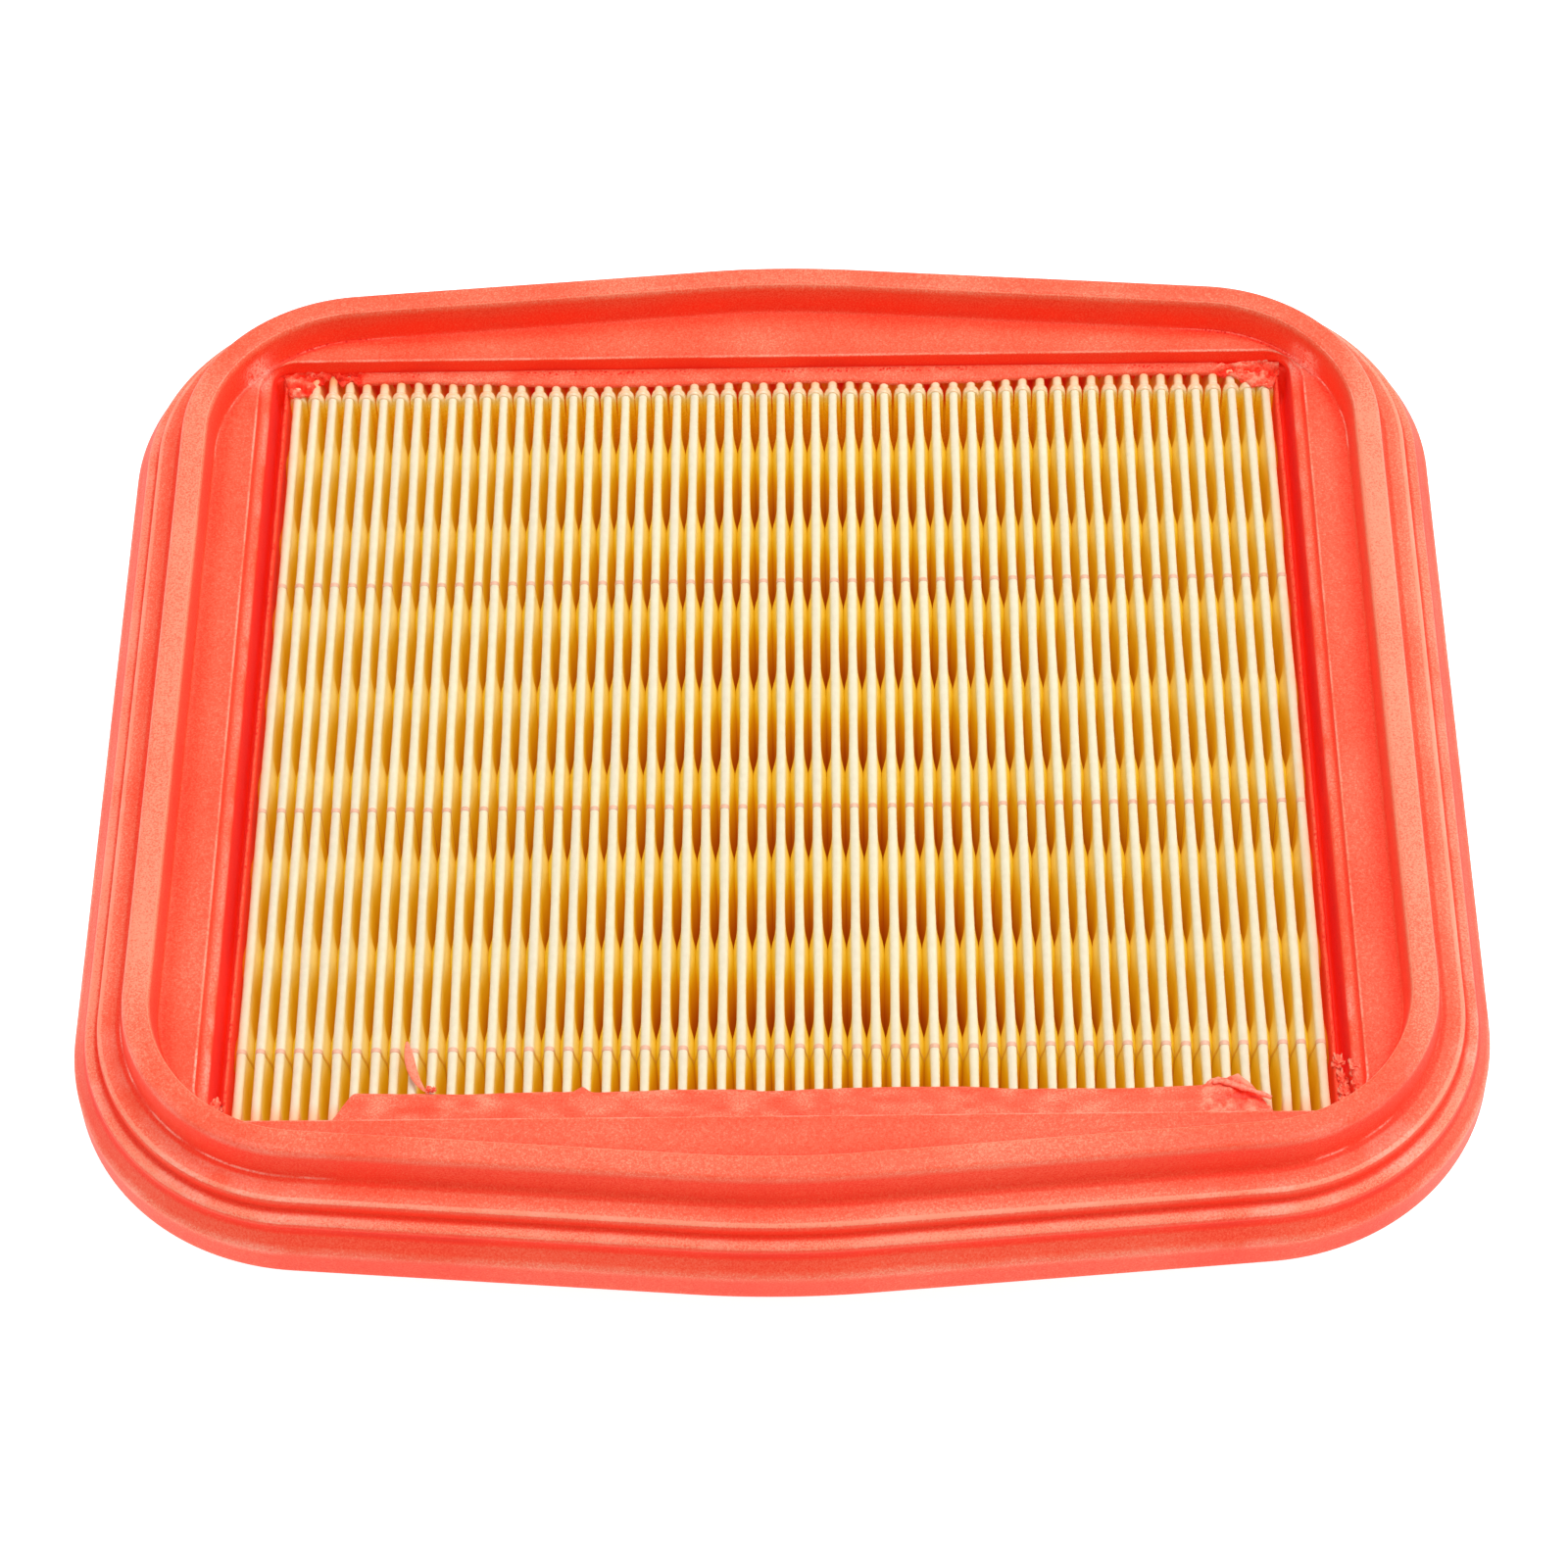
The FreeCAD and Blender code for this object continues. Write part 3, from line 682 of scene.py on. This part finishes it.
def build_frame():
    """The moulding, with a little unevenness and masks for tone (with painted shade and light),
    scuffing with painted highlight lines, and pits.
    """
    rings = frame_rings()
    points = np.array([ring for ring, _, _, _ in rings]).reshape(-1, 3)
    tone = np.repeat([tone for _, tone, _, _ in rings], LOOP)
    pits = np.repeat([pits for _, _, _, pits in rings], LOOP)
    scuffs_and_highlights = np.repeat(np.array([scuffs_and_highlights for _, _, scuffs_and_highlights, _ in rings]).T, LOOP, axis=1)
    ring = np.repeat(np.arange(len(rings)), LOOP)
    x, y, z = points.T
    step = ((ring > LIP_RING) & (ring < EDGE_RING)) * smooth_step(69.4, 71.8, np.abs(y))
    scuff_and_highlight = frame_scuff_and_highlight(x, y, z, scuffs_and_highlights, step)
    # The step walls at the window's ends take a dark tone, darkest below the pack's tips: painted
    # shade.
    step_tone = 0.05 - 0.17 * (1 - smooth_step(TIP_LEVEL + 0.5, TIP_LEVEL + 1.3, z))
    tone = tone * (1 - step) + step_tone * step
    fill, torn = torn_fill(x, y, ring)
    points[:, 2] += fill * (np.clip(TIP_LEVEL - 0.4 + 1.3 * torn - z, 0, None))
    # The torn filling is paler where it is raised and darker where it sinks: painted highlight and
    # shade.
    tone = tone * (1 - fill) + fill * (0.22 + 0.50 * torn)
    seam = (np.abs(ring - FOOT_RING + 0.5) < 2) * (y > 60.0)
    seam = seam * between(66.0, 82.5, np.abs(x), 2.0)
    tone = tone + frame_shade(x, y, z) - 0.25 * seam
    points[:, 2] += over_plan(x, y, 14.0, 11) * 0.05 * smooth_step(14.5, 20.0, z)
    lip = (pits > 0.9) * (np.abs(x) > PACK_HALF_X)
    points[:, 2] += lip * over_plan(x, y, 1.1, 23) * 0.35
    pits = pits * smooth_step(-0.6, 0.1, over_plan(x, y, 3.0, 29)) + seam
    quads = grid_faces(len(rings), LOOP, wrap_rows=True, wrap_columns=True)
    foam_piece("seal_frame_moulding", points, quads[:, ::-1], tone, scuff_and_highlight, pits,
               replaces=("seal_frame",))


# ---------------------------------------------------------------- moulding flash

WALL_Y = 72.9
NOSE_START = 0.8


def flash_section():
    """Round the section of a lip of flash: shares of the way from wall to edge, how
    thick it is there, and 1 on top or -1 underneath, as columns."""
    nose = [0.84, 0.88, 0.91, 0.94, 0.965, 0.985, 1.0]
    shares = np.concatenate([np.linspace(0, NOSE_START, 20), nose])
    past = ((shares - NOSE_START) / (1 - NOSE_START)).clip(0)
    rounding = np.sqrt(np.clip(1 - past ** 2, 0, 1))
    share = np.concatenate([shares, shares[-2:0:-1]])
    rounding = np.concatenate([rounding, rounding[-2:0:-1]])
    side = np.where(np.arange(len(share)) < len(shares), 1.0, -1.0)
    return share[:, None], rounding[:, None], side[:, None]


def flash_roughness(x, y, grain, seed):
    """Three sizes of lumps added together."""
    lumps = enumerate(((2.4, 0.6), (1.0, 0.45), (0.4, 0.25)))
    return sum(weight * over_plan(x, y * 1.6, grain * scale, seed + number)
               for number, (scale, weight) in lumps)


def flash_piece(name, along, wall, edge, height, thick, lumps, seed, grain):
    """A lip of flash from a wall line to an edge line, with a rounded nose.  All but
    `wall`, `seed` and `grain` are arrays along X: Y of the edge, Z of the top, thickness,
    and how lumpy it is."""
    share, rounding, side = flash_section()
    y = wall + (edge - wall) * share
    x = along + np.zeros_like(y)
    rough = flash_roughness(x, y, grain, seed)
    at_rear = wall > 0
    lump = np.clip(lumps / 0.7, 0, 1) + np.zeros_like(y)
    holes = smooth_step(0.06, 0.26, -rough) * smooth_step(0.5, 0.9, lump) * at_rear
    z = height - thick / 2 - 0.25 * share + side * thick / 2 * rounding
    z = z + rough * lumps * np.where(side > 0, 1.0, 0.3) - 0.45 * holes
    redder = 0.22 * at_rear + 0.18 * (x < 0) * at_rear
    # Raised lumps are paler and the holes darker: painted highlight and shade.
    tone = (0.62 + lump * (0.95 * rough - redder)) * (1 - holes) - 0.05 * holes
    blotch = over_plan(x * 0.4, y, 1.2, seed + 3) + over_plan(x, y, 2.6, seed)
    tone = tone + (0.09 if at_rear else 0.15) * blotch
    at_foot = 1 - smooth_step(0.25, 0.6, np.abs(y - 71.8))
    pits = np.clip(1.1 * at_foot, 0, 1) * smooth_step(-0.3, 0.2, across_width(x, 5.0, 42))
    scuff_and_highlight = lump * (0.04 if at_rear else 0.15)
    rows, columns = y.shape
    quads = [grid_faces(rows, columns, wrap_rows=True)]
    for column, turn in ((0, 1), (columns - 1, -1)):
        quads.append(cap_faces(np.arange(rows) * columns + column)[:, ::turn])
    quads = np.concatenate(quads)
    if at_rear:
        quads = quads[:, ::-1]
    points = np.stack([x, y, z], axis=-1).reshape(-1, 3)
    foam_piece(name, points, quads, tone, scuff_and_highlight, pits)


def build_rear_flash():
    """A narrow lip over the rear ends, torn and lumpy at both corners."""
    along = np.linspace(-80.7, 80.7, 1000)
    ragged = across_width(along, 0.8, 31) * 0.5 + across_width(along, 2.2, 32) * 0.7
    edge = 69.5 + 0.8 * smooth_step(25.0, 52.0, np.abs(along))
    edge = edge + across_width(along, 10.0, 33) * 0.45 + across_width(along, 3.2, 34) * 0.15
    tear = between(-76.0, -68.4, along, 0.5)
    left_mass = 1 - smooth_step(-78.4, -72.6, along)
    right_mass = smooth_step(70.0, 79.0, along)
    edge = edge + tear * (0.9 + 0.9 * ragged) - hump(-71.2, 0.5, along)
    edge = edge - left_mass * (3.2 + 0.6 * ragged) - right_mass * (3.6 + 0.8 * ragged)
    edge = edge + 3.5 * smooth_step(79.3, 80.7, np.abs(along))
    torn = np.maximum(1 - smooth_step(-69.0, -67.0, along), smooth_step(69.0, 72.0, along))
    level = np.full(len(along), TIP_LEVEL + 0.55)
    flash_piece("flash_rear", along, WALL_Y, np.clip(edge, 66.0, 72.2), level,
                1.1 - 0.35 * torn, torn * 0.75, 41, 0.7)


def build_front_flash():
    """A wide lip over most of the front ends, lumpy at its right end."""
    along = np.linspace(-79.9, 79.9, 900)
    covered = smooth_step(-65.5, -61.1, along) * (1 - smooth_step(67.4, 71.8, along))
    torn = between(61.0, 72.0, along, 1.2)
    edge = -66.2 + across_width(along, 12.0, 35) * 0.32 + across_width(along, 3.5, 36) * 0.10
    edge = edge + 0.9 * hump(-28.5, 0.9, along) + 1.3 * between(61.9, 67.0, along, 1.3)
    edge = edge + 0.3 * torn * across_width(along, 1.0, 44)
    bare = -71.3 + across_width(along, 2.8, 37) * 0.45 + across_width(along, 0.5, 38) * 0.20
    edge = bare + (edge - bare) * covered
    level = TIP_LEVEL + 0.35 + 0.35 * covered + 0.30 * torn
    flash_piece("flash_front", along, -WALL_Y, edge, level, 0.9 + 0.4 * covered,
                torn * 0.80 + 0.09, 51, 1.5)


def build_flash_curl():
    """The edge of the front lip, curled up over its lumpy right end."""
    part = np.linspace(0, 1, 60)
    path = np.column_stack([62.2 + 8.2 * part, -66.2 - 3.0 * part ** 1.6,
                            TIP_LEVEL + 1.10 + 0.25 * wander(part * 9 + 30, 1.6, 39)])
    radii = 0.24 + 0.22 * np.sin(np.pi * part) + 0.12 * wander(part * 9 + 60, 0.9, 40)
    foam_tube("flash_curl", path, radii, squash=0.7, tone=0.75, scuff_and_highlight=0.4)


def foam_tube(name, path, radii, squash, tone, scuff_and_highlight, sides=12):
    """A tube along a path with a radius at every point; squash flattens it in height."""
    ahead = np.gradient(path, axis=0)
    ahead /= np.linalg.norm(ahead, axis=1, keepdims=True)
    across = np.cross(ahead, [0.0, 0.0, 1.0])
    across /= np.linalg.norm(across, axis=1, keepdims=True)
    above = np.cross(across, ahead)
    turns = np.linspace(0, 2 * np.pi, sides, endpoint=False)
    rings = [path + radii[:, None] * (across * math.cos(turn) + above * squash * math.sin(turn))
             for turn in turns]
    points = np.array(rings).transpose(1, 0, 2).reshape(-1, 3)
    foam_piece(name, points, closed_tube_faces(len(path), sides), tone, scuff_and_highlight)


def build_curled_strip():
    """A curled strip of flash lying across two pleats near the front left."""
    part = np.linspace(0, 1, 40)
    x = -54.2 + 1.5 * part + 1.6 * part ** 4
    y = -57.6 - 8.6 * part ** 0.9
    z = TIP_LEVEL + 0.40 + 0.8 * np.sin(np.pi * part) ** 1.2
    radii = 0.16 + 0.58 * np.sin(np.pi * np.clip(part * 1.02, 0, 1)) ** 0.7
    foam_tube("curled_strip", np.column_stack([x, y, z]), radii, squash=0.30, tone=0.93,
              scuff_and_highlight=0.0)


# Place and size of each crumb: the front right slot, the front left slot and the end of
# the curled strip.
CRUMBS = [(80.6, -62.6, 22.7, 0.9), (82.9, -64.2, 24.3, 1.0), (80.9, -65.2, 22.6, 0.9),
          (81.2, -67.6, 22.7, 1.0), (82.9, -67.2, 24.4, 0.9), (81.0, -69.9, 22.8, 1.0),
          (-81.3, -68.4, 22.8, 0.9), (-82.6, -69.6, 23.8, 0.8),
          (-50.7, -65.8, 23.3, 0.40), (-49.9, -66.1, 23.6, 0.35)]
CRUMB_ROWS, CRUMB_COLUMNS = 29, 48
CRUMB_STRETCH = np.array([0.8, 1.2, 0.7])


def build_crumb(number, x, y, z, size):
    """A ball with its surface pushed in and out."""
    turn = np.linspace(0.06, np.pi - 0.06, CRUMB_ROWS)[:, None]
    lap = np.linspace(0, 2 * np.pi, CRUMB_COLUMNS, endpoint=False)[None, :]
    shape = np.stack([np.sin(turn) * np.cos(lap), np.sin(turn) * np.sin(lap),
                      np.cos(turn) * np.ones_like(lap)], axis=-1)
    first, second = shape[..., 0] * 3 + 40 + number, (shape[..., 1] + shape[..., 2]) * 3 + 40
    rough = wander_2d(first, second, 0.9, 60 + number) * np.sin(turn)
    fine = wander_2d(first, second, 0.35, 70 + number) * np.sin(turn)
    swell = np.clip(1 + 0.75 * rough + 0.40 * fine, 0.5, None)[..., None]
    points = (shape * swell * size * CRUMB_STRETCH + [x, y, z]).reshape(-1, 3)
    # The bumps that swell out are paler and the dents darker: painted highlight and shade.
    tone = (0.48 + 0.60 * rough + 0.5 * fine).ravel()
    quads = closed_tube_faces(CRUMB_ROWS, CRUMB_COLUMNS)
    foam_piece("foam_crumb_%d" % (number + 1), points, quads, tone, scuff_and_highlight=0.1)


def build_crumbs():
    """Small torn crumbs of foam in the front ends of the slots and beside the strip."""
    for number, (x, y, z, size) in enumerate(CRUMBS):
        build_crumb(number, x, y, z, size)


# ---------------------------------------------------------------- pleated paper

def pleat_rows():
    """Y of the cross-sections of the folds, closer together where the emboss turns."""
    rows = [-PACK_HALF_Y]
    while rows[-1] < PACK_HALF_Y - 0.6:
        phase = ((rows[-1] - EMBOSS_START) / EMBOSS_PITCH) % 1.0
        near = min(phase, 1 - phase)
        rows.append(rows[-1] + (0.9 if near < 0.18 else 1.9))
    rows[-1] = PACK_HALF_Y
    return np.array(rows)


ROWS = pleat_rows()
FOLD_HEIGHT = TIP_LEVEL - FOOT_LEVEL


def emboss(along):
    """1 where the gaps of a face close and 0 between."""
    phase = (along - EMBOSS_START) / EMBOSS_PITCH
    return ((1 + np.cos(2 * np.pi * phase)) / 2) ** 2


def half_width(depth, along):
    """Half width of a fold at the paper's mid-thickness, `depth` below its tip.  The
    bulges close the gaps of the upper face, and half a step on those of the lower."""
    plain = 0.38 + 0.64 * depth / FOLD_HEIGHT
    upper = smooth_step(0.7, 4.6, depth) * smooth_step(0.0, 5.0, FOLD_HEIGHT - depth)
    lower = smooth_step(0.7, 4.6, FOLD_HEIGHT - depth) * smooth_step(0.0, 5.0, depth)
    bulge = emboss(along) * upper - emboss(along + EMBOSS_PITCH / 2) * lower
    narrowest = PAPER / 2 + 0.01
    return np.clip(plain + BULGE * bulge, narrowest, PITCH / 2 - narrowest)


# Depths of the points down a flank; then the turns at tip and foot: steps, squareness
# (2 is round) and height.
FLANK_DEPTHS = (0.75, 1.2, 1.8, 2.5, 3.3, 4.3, 5.8, 8.0, 11.0, 14.0, 17.0, 19.0, 20.6)
TURN_STEPS = 4
TURN_SHAPE = 2.15
TURN_HEIGHT = 0.7


def fold_section(along, upper):
    """Cross-section of one face of a fold, valley to valley over the tip: offsets x and
    heights z.  `along` is an array of rows."""
    level = np.ones(len(along))
    half = PAPER / 2 if upper else -PAPER / 2
    outer, inner = TURN_HEIGHT, TURN_HEIGHT - PAPER
    tip_rise, foot_rise = (outer, inner) if upper else (inner, outer)
    turns = np.linspace(0, math.pi / 2, TURN_STEPS + 1)
    near_tip = half_width(TURN_HEIGHT * level, along) + half
    near_foot = PITCH / 2 - half_width((FOLD_HEIGHT - TURN_HEIGHT) * level, along) - half
    tip_start, foot_start = TIP_LEVEL - TURN_HEIGHT, FOOT_LEVEL + TURN_HEIGHT
    xs, zs = [], []
    for turn in turns[:-1]:
        xs.append(near_tip * math.sin(turn) ** (2 / TURN_SHAPE))
        zs.append(level * (tip_start + tip_rise * math.cos(turn) ** (2 / TURN_SHAPE)))
    for depth in FLANK_DEPTHS:
        xs.append(half_width(depth * level, along) + half)
        zs.append(level * (TIP_LEVEL - depth))
    for turn in turns[1:]:
        xs.append(PITCH / 2 - near_foot * abs(math.cos(turn)) ** (2 / TURN_SHAPE))
        zs.append(level * (foot_start - foot_rise * math.sin(turn) ** (2 / TURN_SHAPE)))
    right_x, right_z = np.array(xs), np.array(zs)
    x = np.concatenate([-right_x[:0:-1], right_x])
    z = np.concatenate([right_z[:0:-1], right_z])
    return x, z


def fold_shift(pleat, along):
    """Sideways wander of a fold's tip."""
    slow = wander(along + 200, 34.0, 100 + pleat) * 0.10
    quick = wander(along + 200, 8.0, 300 + pleat) * 0.035
    edge = smooth_step(0.0, 4.0, PACK_HALF_Y - np.abs(along))
    return (slow + quick) * edge + lattice(64, 7)[pleat] * 0.06


def tip_lift(pleat, along):
    return (wander(along + 200, 40.0, 500 + pleat) * 0.07 - 0.09) + lattice(64, 9)[pleat] * 0.03


def pleat_middle(pleat):
    return -PACK_HALF_X + PITCH * (pleat + 0.5)


def fold_face(pleat, along, upper):
    """Places x, z of one face of a fold.  Its tip wanders sideways and in height, its
    foot and its bulges stay in place."""
    x, z = fold_section(along, upper)
    loose = smooth_step(0.0, 1.0, np.clip((z - FOOT_LEVEL) / FOLD_HEIGHT, 0, 1))
    held = emboss(along) * smooth_step(1.5, 3.5, TIP_LEVEL - z)
    x = x + pleat_middle(pleat) + fold_shift(pleat, along) * loose * (1 - held)
    return x, z + tip_lift(pleat, along) * loose


def fold_points(pleat, upper):
    """Points and colour depths of one face of a fold: rows along Y, columns across.
    The colour depth carries painted light and shade: flanks that face the middle of the
    pack are lit further down, and flanks that face away are shaded from higher up."""
    x, z = fold_face(pleat, ROWS, upper)
    y = np.broadcast_to(ROWS, x.shape)
    depth = (TIP_LEVEL - z) / FOLD_HEIGHT if upper else (z - FOOT_LEVEL) / FOLD_HEIGHT
    flank = np.sign(np.arange(len(x)) - len(x) // 2)[:, None]
    facing = flank * -pleat_middle(pleat) / PACK_HALF_X
    lit = 0.42 * smooth_step(0.05, 0.60, facing) * smooth_step(0.01, 0.09, depth)
    shade = 0.30 * smooth_step(0.05, 0.60, -facing) * smooth_step(0.03, 0.10, depth)
    deep = 1 - smooth_step(0.4, 0.9, depth)
    return np.stack([x, y, z], axis=-1), depth * (1 + (shade - lit) * deep)


def end_soak(points):
    """How far the foam has soaked into the paper: its ends and outermost pleats."""
    x, y, z = points.T
    from_rear, from_front = PACK_HALF_Y - y, PACK_HALF_Y + y
    rear = 1.2 - 0.7 * smooth_step(2.7, 3.6, from_rear) - 0.5 * smooth_step(1.2, 2.8, from_rear)
    front = 0.9 - 0.9 * smooth_step(1.6, 4.6, from_front)
    sides = 0.55 * smooth_step(PACK_HALF_X - 3.2, PACK_HALF_X, np.abs(x))
    patchy = 0.7 + 0.3 * over_plan(x, y, 1.3, 71)
    shallow = smooth_step(TIP_LEVEL - 8.5, TIP_LEVEL - 5.5, z)
    return np.clip(np.maximum(np.maximum(rear, front) * shallow, sides) * patchy, 0, 1)


def sheet_faces(across, rows):
    """Outward quads of a sheet whose lower points follow its upper ones."""
    count = across * rows
    upper = grid_faces(across, rows)
    column = np.arange(across - 1) * rows
    row = np.arange(rows - 1)
    near = np.stack([column, column + rows, column + rows + count, column + count], axis=1)
    left = np.stack([row, row + count, row + 1 + count, row + 1], axis=1)
    far = near[:, ::-1] + rows - 1
    right = left[:, ::-1] + (across - 1) * rows
    return np.concatenate([upper[:, ::-1], upper + count, near, far, left, right])


def build_paper_group(name, first, last, replaces):
    """Folds first..last-1 as one closed sheet of paper."""
    sections, depths = [], []
    for upper in (True, False):
        for pleat in range(first, last):
            section, depth = fold_points(pleat, upper)
            keep = slice(0 if pleat == first else 1, None)
            sections.append(section[keep])
            depths.append(depth[keep])
    points = np.concatenate(sections)
    across, rows = len(points) // 2, points.shape[1]
    points = points.reshape(-1, 3)
    values = {"depth": np.clip(np.concatenate(depths), 0, 1), "soak": end_soak(points)}
    make_piece(name, points, sheet_faces(across, rows), PAPER_LOOK, replaces,
               values)


def build_paper():
    """The folds in six groups, which keeps each mesh small."""
    starts = (0, 10, 19, 29, 38, 48, PLEATS)
    for number, (first, last) in enumerate(zip(starts, starts[1:])):
        replaces = ("pleated_media",) if number == 0 else ()
        build_paper_group("pleated_paper_%d" % (number + 1), first, last, replaces)


# ---------------------------------------------------------------- glue

# Sizes of a line of glue: its width and thickness, how much thinner it is on the pleat
# tips and down the folds, and how deep the groove along its crest is, which also scales
# the painted shade at its edges and crest.
THREAD = {"width": 0.75, "thick": 0.09, "at_tip": 0.0, "in_fold": 0.2, "hollow": 0.3}
BEAD = {"width": 1.35, "thick": 0.86, "at_tip": 0.66, "in_fold": 0.0, "hollow": 0.35}
GLUE_SIDES = 16


def glue_path(place, upper):
    """Places (x, z) along the folded sheet from the first pleat to the last, and their Y."""
    path, lines = [], []
    for pleat in range(PLEATS):
        line_y = place + wander(np.array([pleat + 50.0]), 2.2, 81)[0] * 0.12
        x, z = fold_face(pleat, np.array([line_y]), upper)
        first = 0 if pleat == 0 else 1
        path += list(np.column_stack([x[:, 0], z[:, 0]])[first:])
        lines += [line_y] * (len(x) - first)
    return np.array(path), np.array(lines)


def glue_line(name, place, size, upper, look):
    """A line of glue over every fold, which replaces the CAD's straight one."""
    path, lines = glue_path(place, upper)
    ahead = np.gradient(path, axis=0)
    ahead /= np.linalg.norm(ahead, axis=1, keepdims=True)
    outward = np.column_stack([-ahead[:, 1], ahead[:, 0]]) * (1 if upper else -1)
    down_fold = TIP_LEVEL - path[:, 1] if upper else path[:, 1] - FOOT_LEVEL
    leg = 1 - size["in_fold"] * smooth_step(0.8, 2.2, down_fold)
    shoulder = 1 - size["at_tip"] * (1 - smooth_step(0.0, 1.5, down_fold))
    turns = np.linspace(0, 2 * np.pi, GLUE_SIDES, endpoint=False)
    towards_edge = np.abs(np.cos(turns))
    # A deeper colour at the line's edges and, less, along its crest and underside: painted shade.
    edge_shade = size["hollow"] * (0.05 * (towards_edge > 0.9) + 0.03 * (towards_edge < 0.2))
    depth = np.repeat(down_fold / FOLD_HEIGHT, GLUE_SIDES) + np.tile(edge_shade, len(path))
    swell = 1 + 0.16 * across_width(path[:, 0], 1.7, 82)
    rings = []
    for turn in turns:
        groove = 1 - size["hollow"] * math.exp(-(math.cos(turn) / 0.45) ** 2)
        out = size["thick"] * groove * swell * leg * shoulder * max(math.sin(turn), -0.25)
        y = lines + size["width"] / 2 * leg * math.cos(turn)
        rings.append(np.column_stack([path[:, 0] + outward[:, 0] * out, y,
                                      path[:, 1] + outward[:, 1] * out]))
    points = np.array(rings).transpose(1, 0, 2).reshape(-1, 3)
    quads = closed_tube_faces(len(path), GLUE_SIDES)
    if upper:
        quads = quads[:, ::-1]
    make_piece(name, points, quads, look, replaces=("glue_" + name,),
               values={"depth": np.clip(depth, 0, 1)})


def build_glue():
    sides = (("top", True), ("under", False))
    for name, place in THREAD_Y.items():
        for side, upper in sides:
            glue_line("thread_%s_%s" % (side, name), place, THREAD, upper, THREAD_LOOK)
    for side, upper in sides:
        glue_line("bead_%s_rear" % side, BEAD_Y, BEAD, upper, BEAD_LOOK)


# ---------------------------------------------------------------- setting

def build_floor():
    """A pale floor just below the part."""
    size, level = 6.0, -0.0002
    corners = [(-size, -size, level), (size, -size, level), (size, size, level),
               (-size, size, level)]
    mesh = bpy.data.meshes.new("floor")
    mesh.from_pydata(corners, [], [(0, 1, 2, 3)])
    floor = bpy.data.objects.new("floor", mesh)
    bpy.context.scene.collection.objects.link(floor)
    material, tree, shader = new_material("floor_white")
    tone = ramp_node(tree, noise_node(tree, 30.0), [(0.3, (0.54,) * 3), (0.7, (0.56,) * 3)])
    tree.links.new(tone, shader.inputs["Base Color"])
    shader.inputs["Roughness"].default_value = 0.9
    shader.inputs["Specular IOR Level"].default_value = 0.0
    shader.inputs["Emission Color"].default_value = (*WHITE, 1.0)
    shader.inputs["Emission Strength"].default_value = 0.9
    mesh.materials.append(material)


def build_sky():
    """White at the horizon and grey above it."""
    world = bpy.data.worlds.new("studio")
    bpy.context.scene.world = world
    world.use_nodes = True
    tree = world.node_tree
    place = tree.nodes.new("ShaderNodeTexCoord")
    parts = tree.nodes.new("ShaderNodeSeparateXYZ")
    tree.links.new(place.outputs["Generated"], parts.inputs["Vector"])
    sky = ramp_node(tree, parts.outputs["Z"], [(0.02, WHITE), (0.14, (0.36,) * 3)])
    tree.links.new(sky, tree.nodes["Background"].inputs["Color"])


LIGHT_SIZE = 0.8
LIGHTS = {"key_light": ((0.25, 0.25, 1.1), 10.5), "left_light": ((-1.0, -0.15, 0.5), 2.6),
          "right_light": ((1.0, 0.0, 0.6), 4.0)}


def build_lights():
    """Soft square lamps, each with its place and power."""
    centre = Vector((0.0, 0.0, 0.02))
    for name, (place, power) in LIGHTS.items():
        light = bpy.data.lights.new(name, "AREA")
        light.shape = "RECTANGLE"
        light.size = light.size_y = LIGHT_SIZE
        light.energy = power
        lamp = bpy.data.objects.new(name, light)
        lamp.location = place
        lamp.rotation_euler = (centre - Vector(place)).to_track_quat("-Z", "Y").to_euler()
        bpy.context.scene.collection.objects.link(lamp)


CAMERA_RISE = math.radians(53.4)
CAMERA_SWING = math.radians(1.45)
CAMERA_ROLL = math.radians(1.79)
CAMERA_DISTANCE = 667.5
CAMERA_FOCUS = 102.98
CAMERA_TARGET = Vector((0.29, -18.16, TOTAL_HEIGHT))


def build_camera():
    """Looks along +Y and down, turned a little to one side and rolled a little."""
    data = bpy.data.cameras.new("camera")
    data.lens = CAMERA_FOCUS
    data.sensor_width = 36.0
    data.clip_start = 0.01
    camera = bpy.data.objects.new("camera", data)
    swing = Matrix.Rotation(CAMERA_SWING, 4, "Z") @ Matrix.Translation(CAMERA_TARGET * MM)
    tilt = Matrix.Rotation(math.pi / 2 - CAMERA_RISE, 4, "X")
    back = Matrix.Translation((0, 0, CAMERA_DISTANCE * MM))
    roll = Matrix.Rotation(-CAMERA_ROLL, 4, "Z")
    camera.matrix_world = swing @ tilt @ back @ roll
    bpy.context.scene.collection.objects.link(camera)
    bpy.context.scene.camera = camera


build_frame()
build_rear_flash()
build_front_flash()
build_flash_curl()
build_curled_strip()
build_crumbs()
build_paper()
build_glue()
build_floor()
build_sky()
build_lights()
build_camera()
bpy.context.scene.view_settings.view_transform = "Standard"
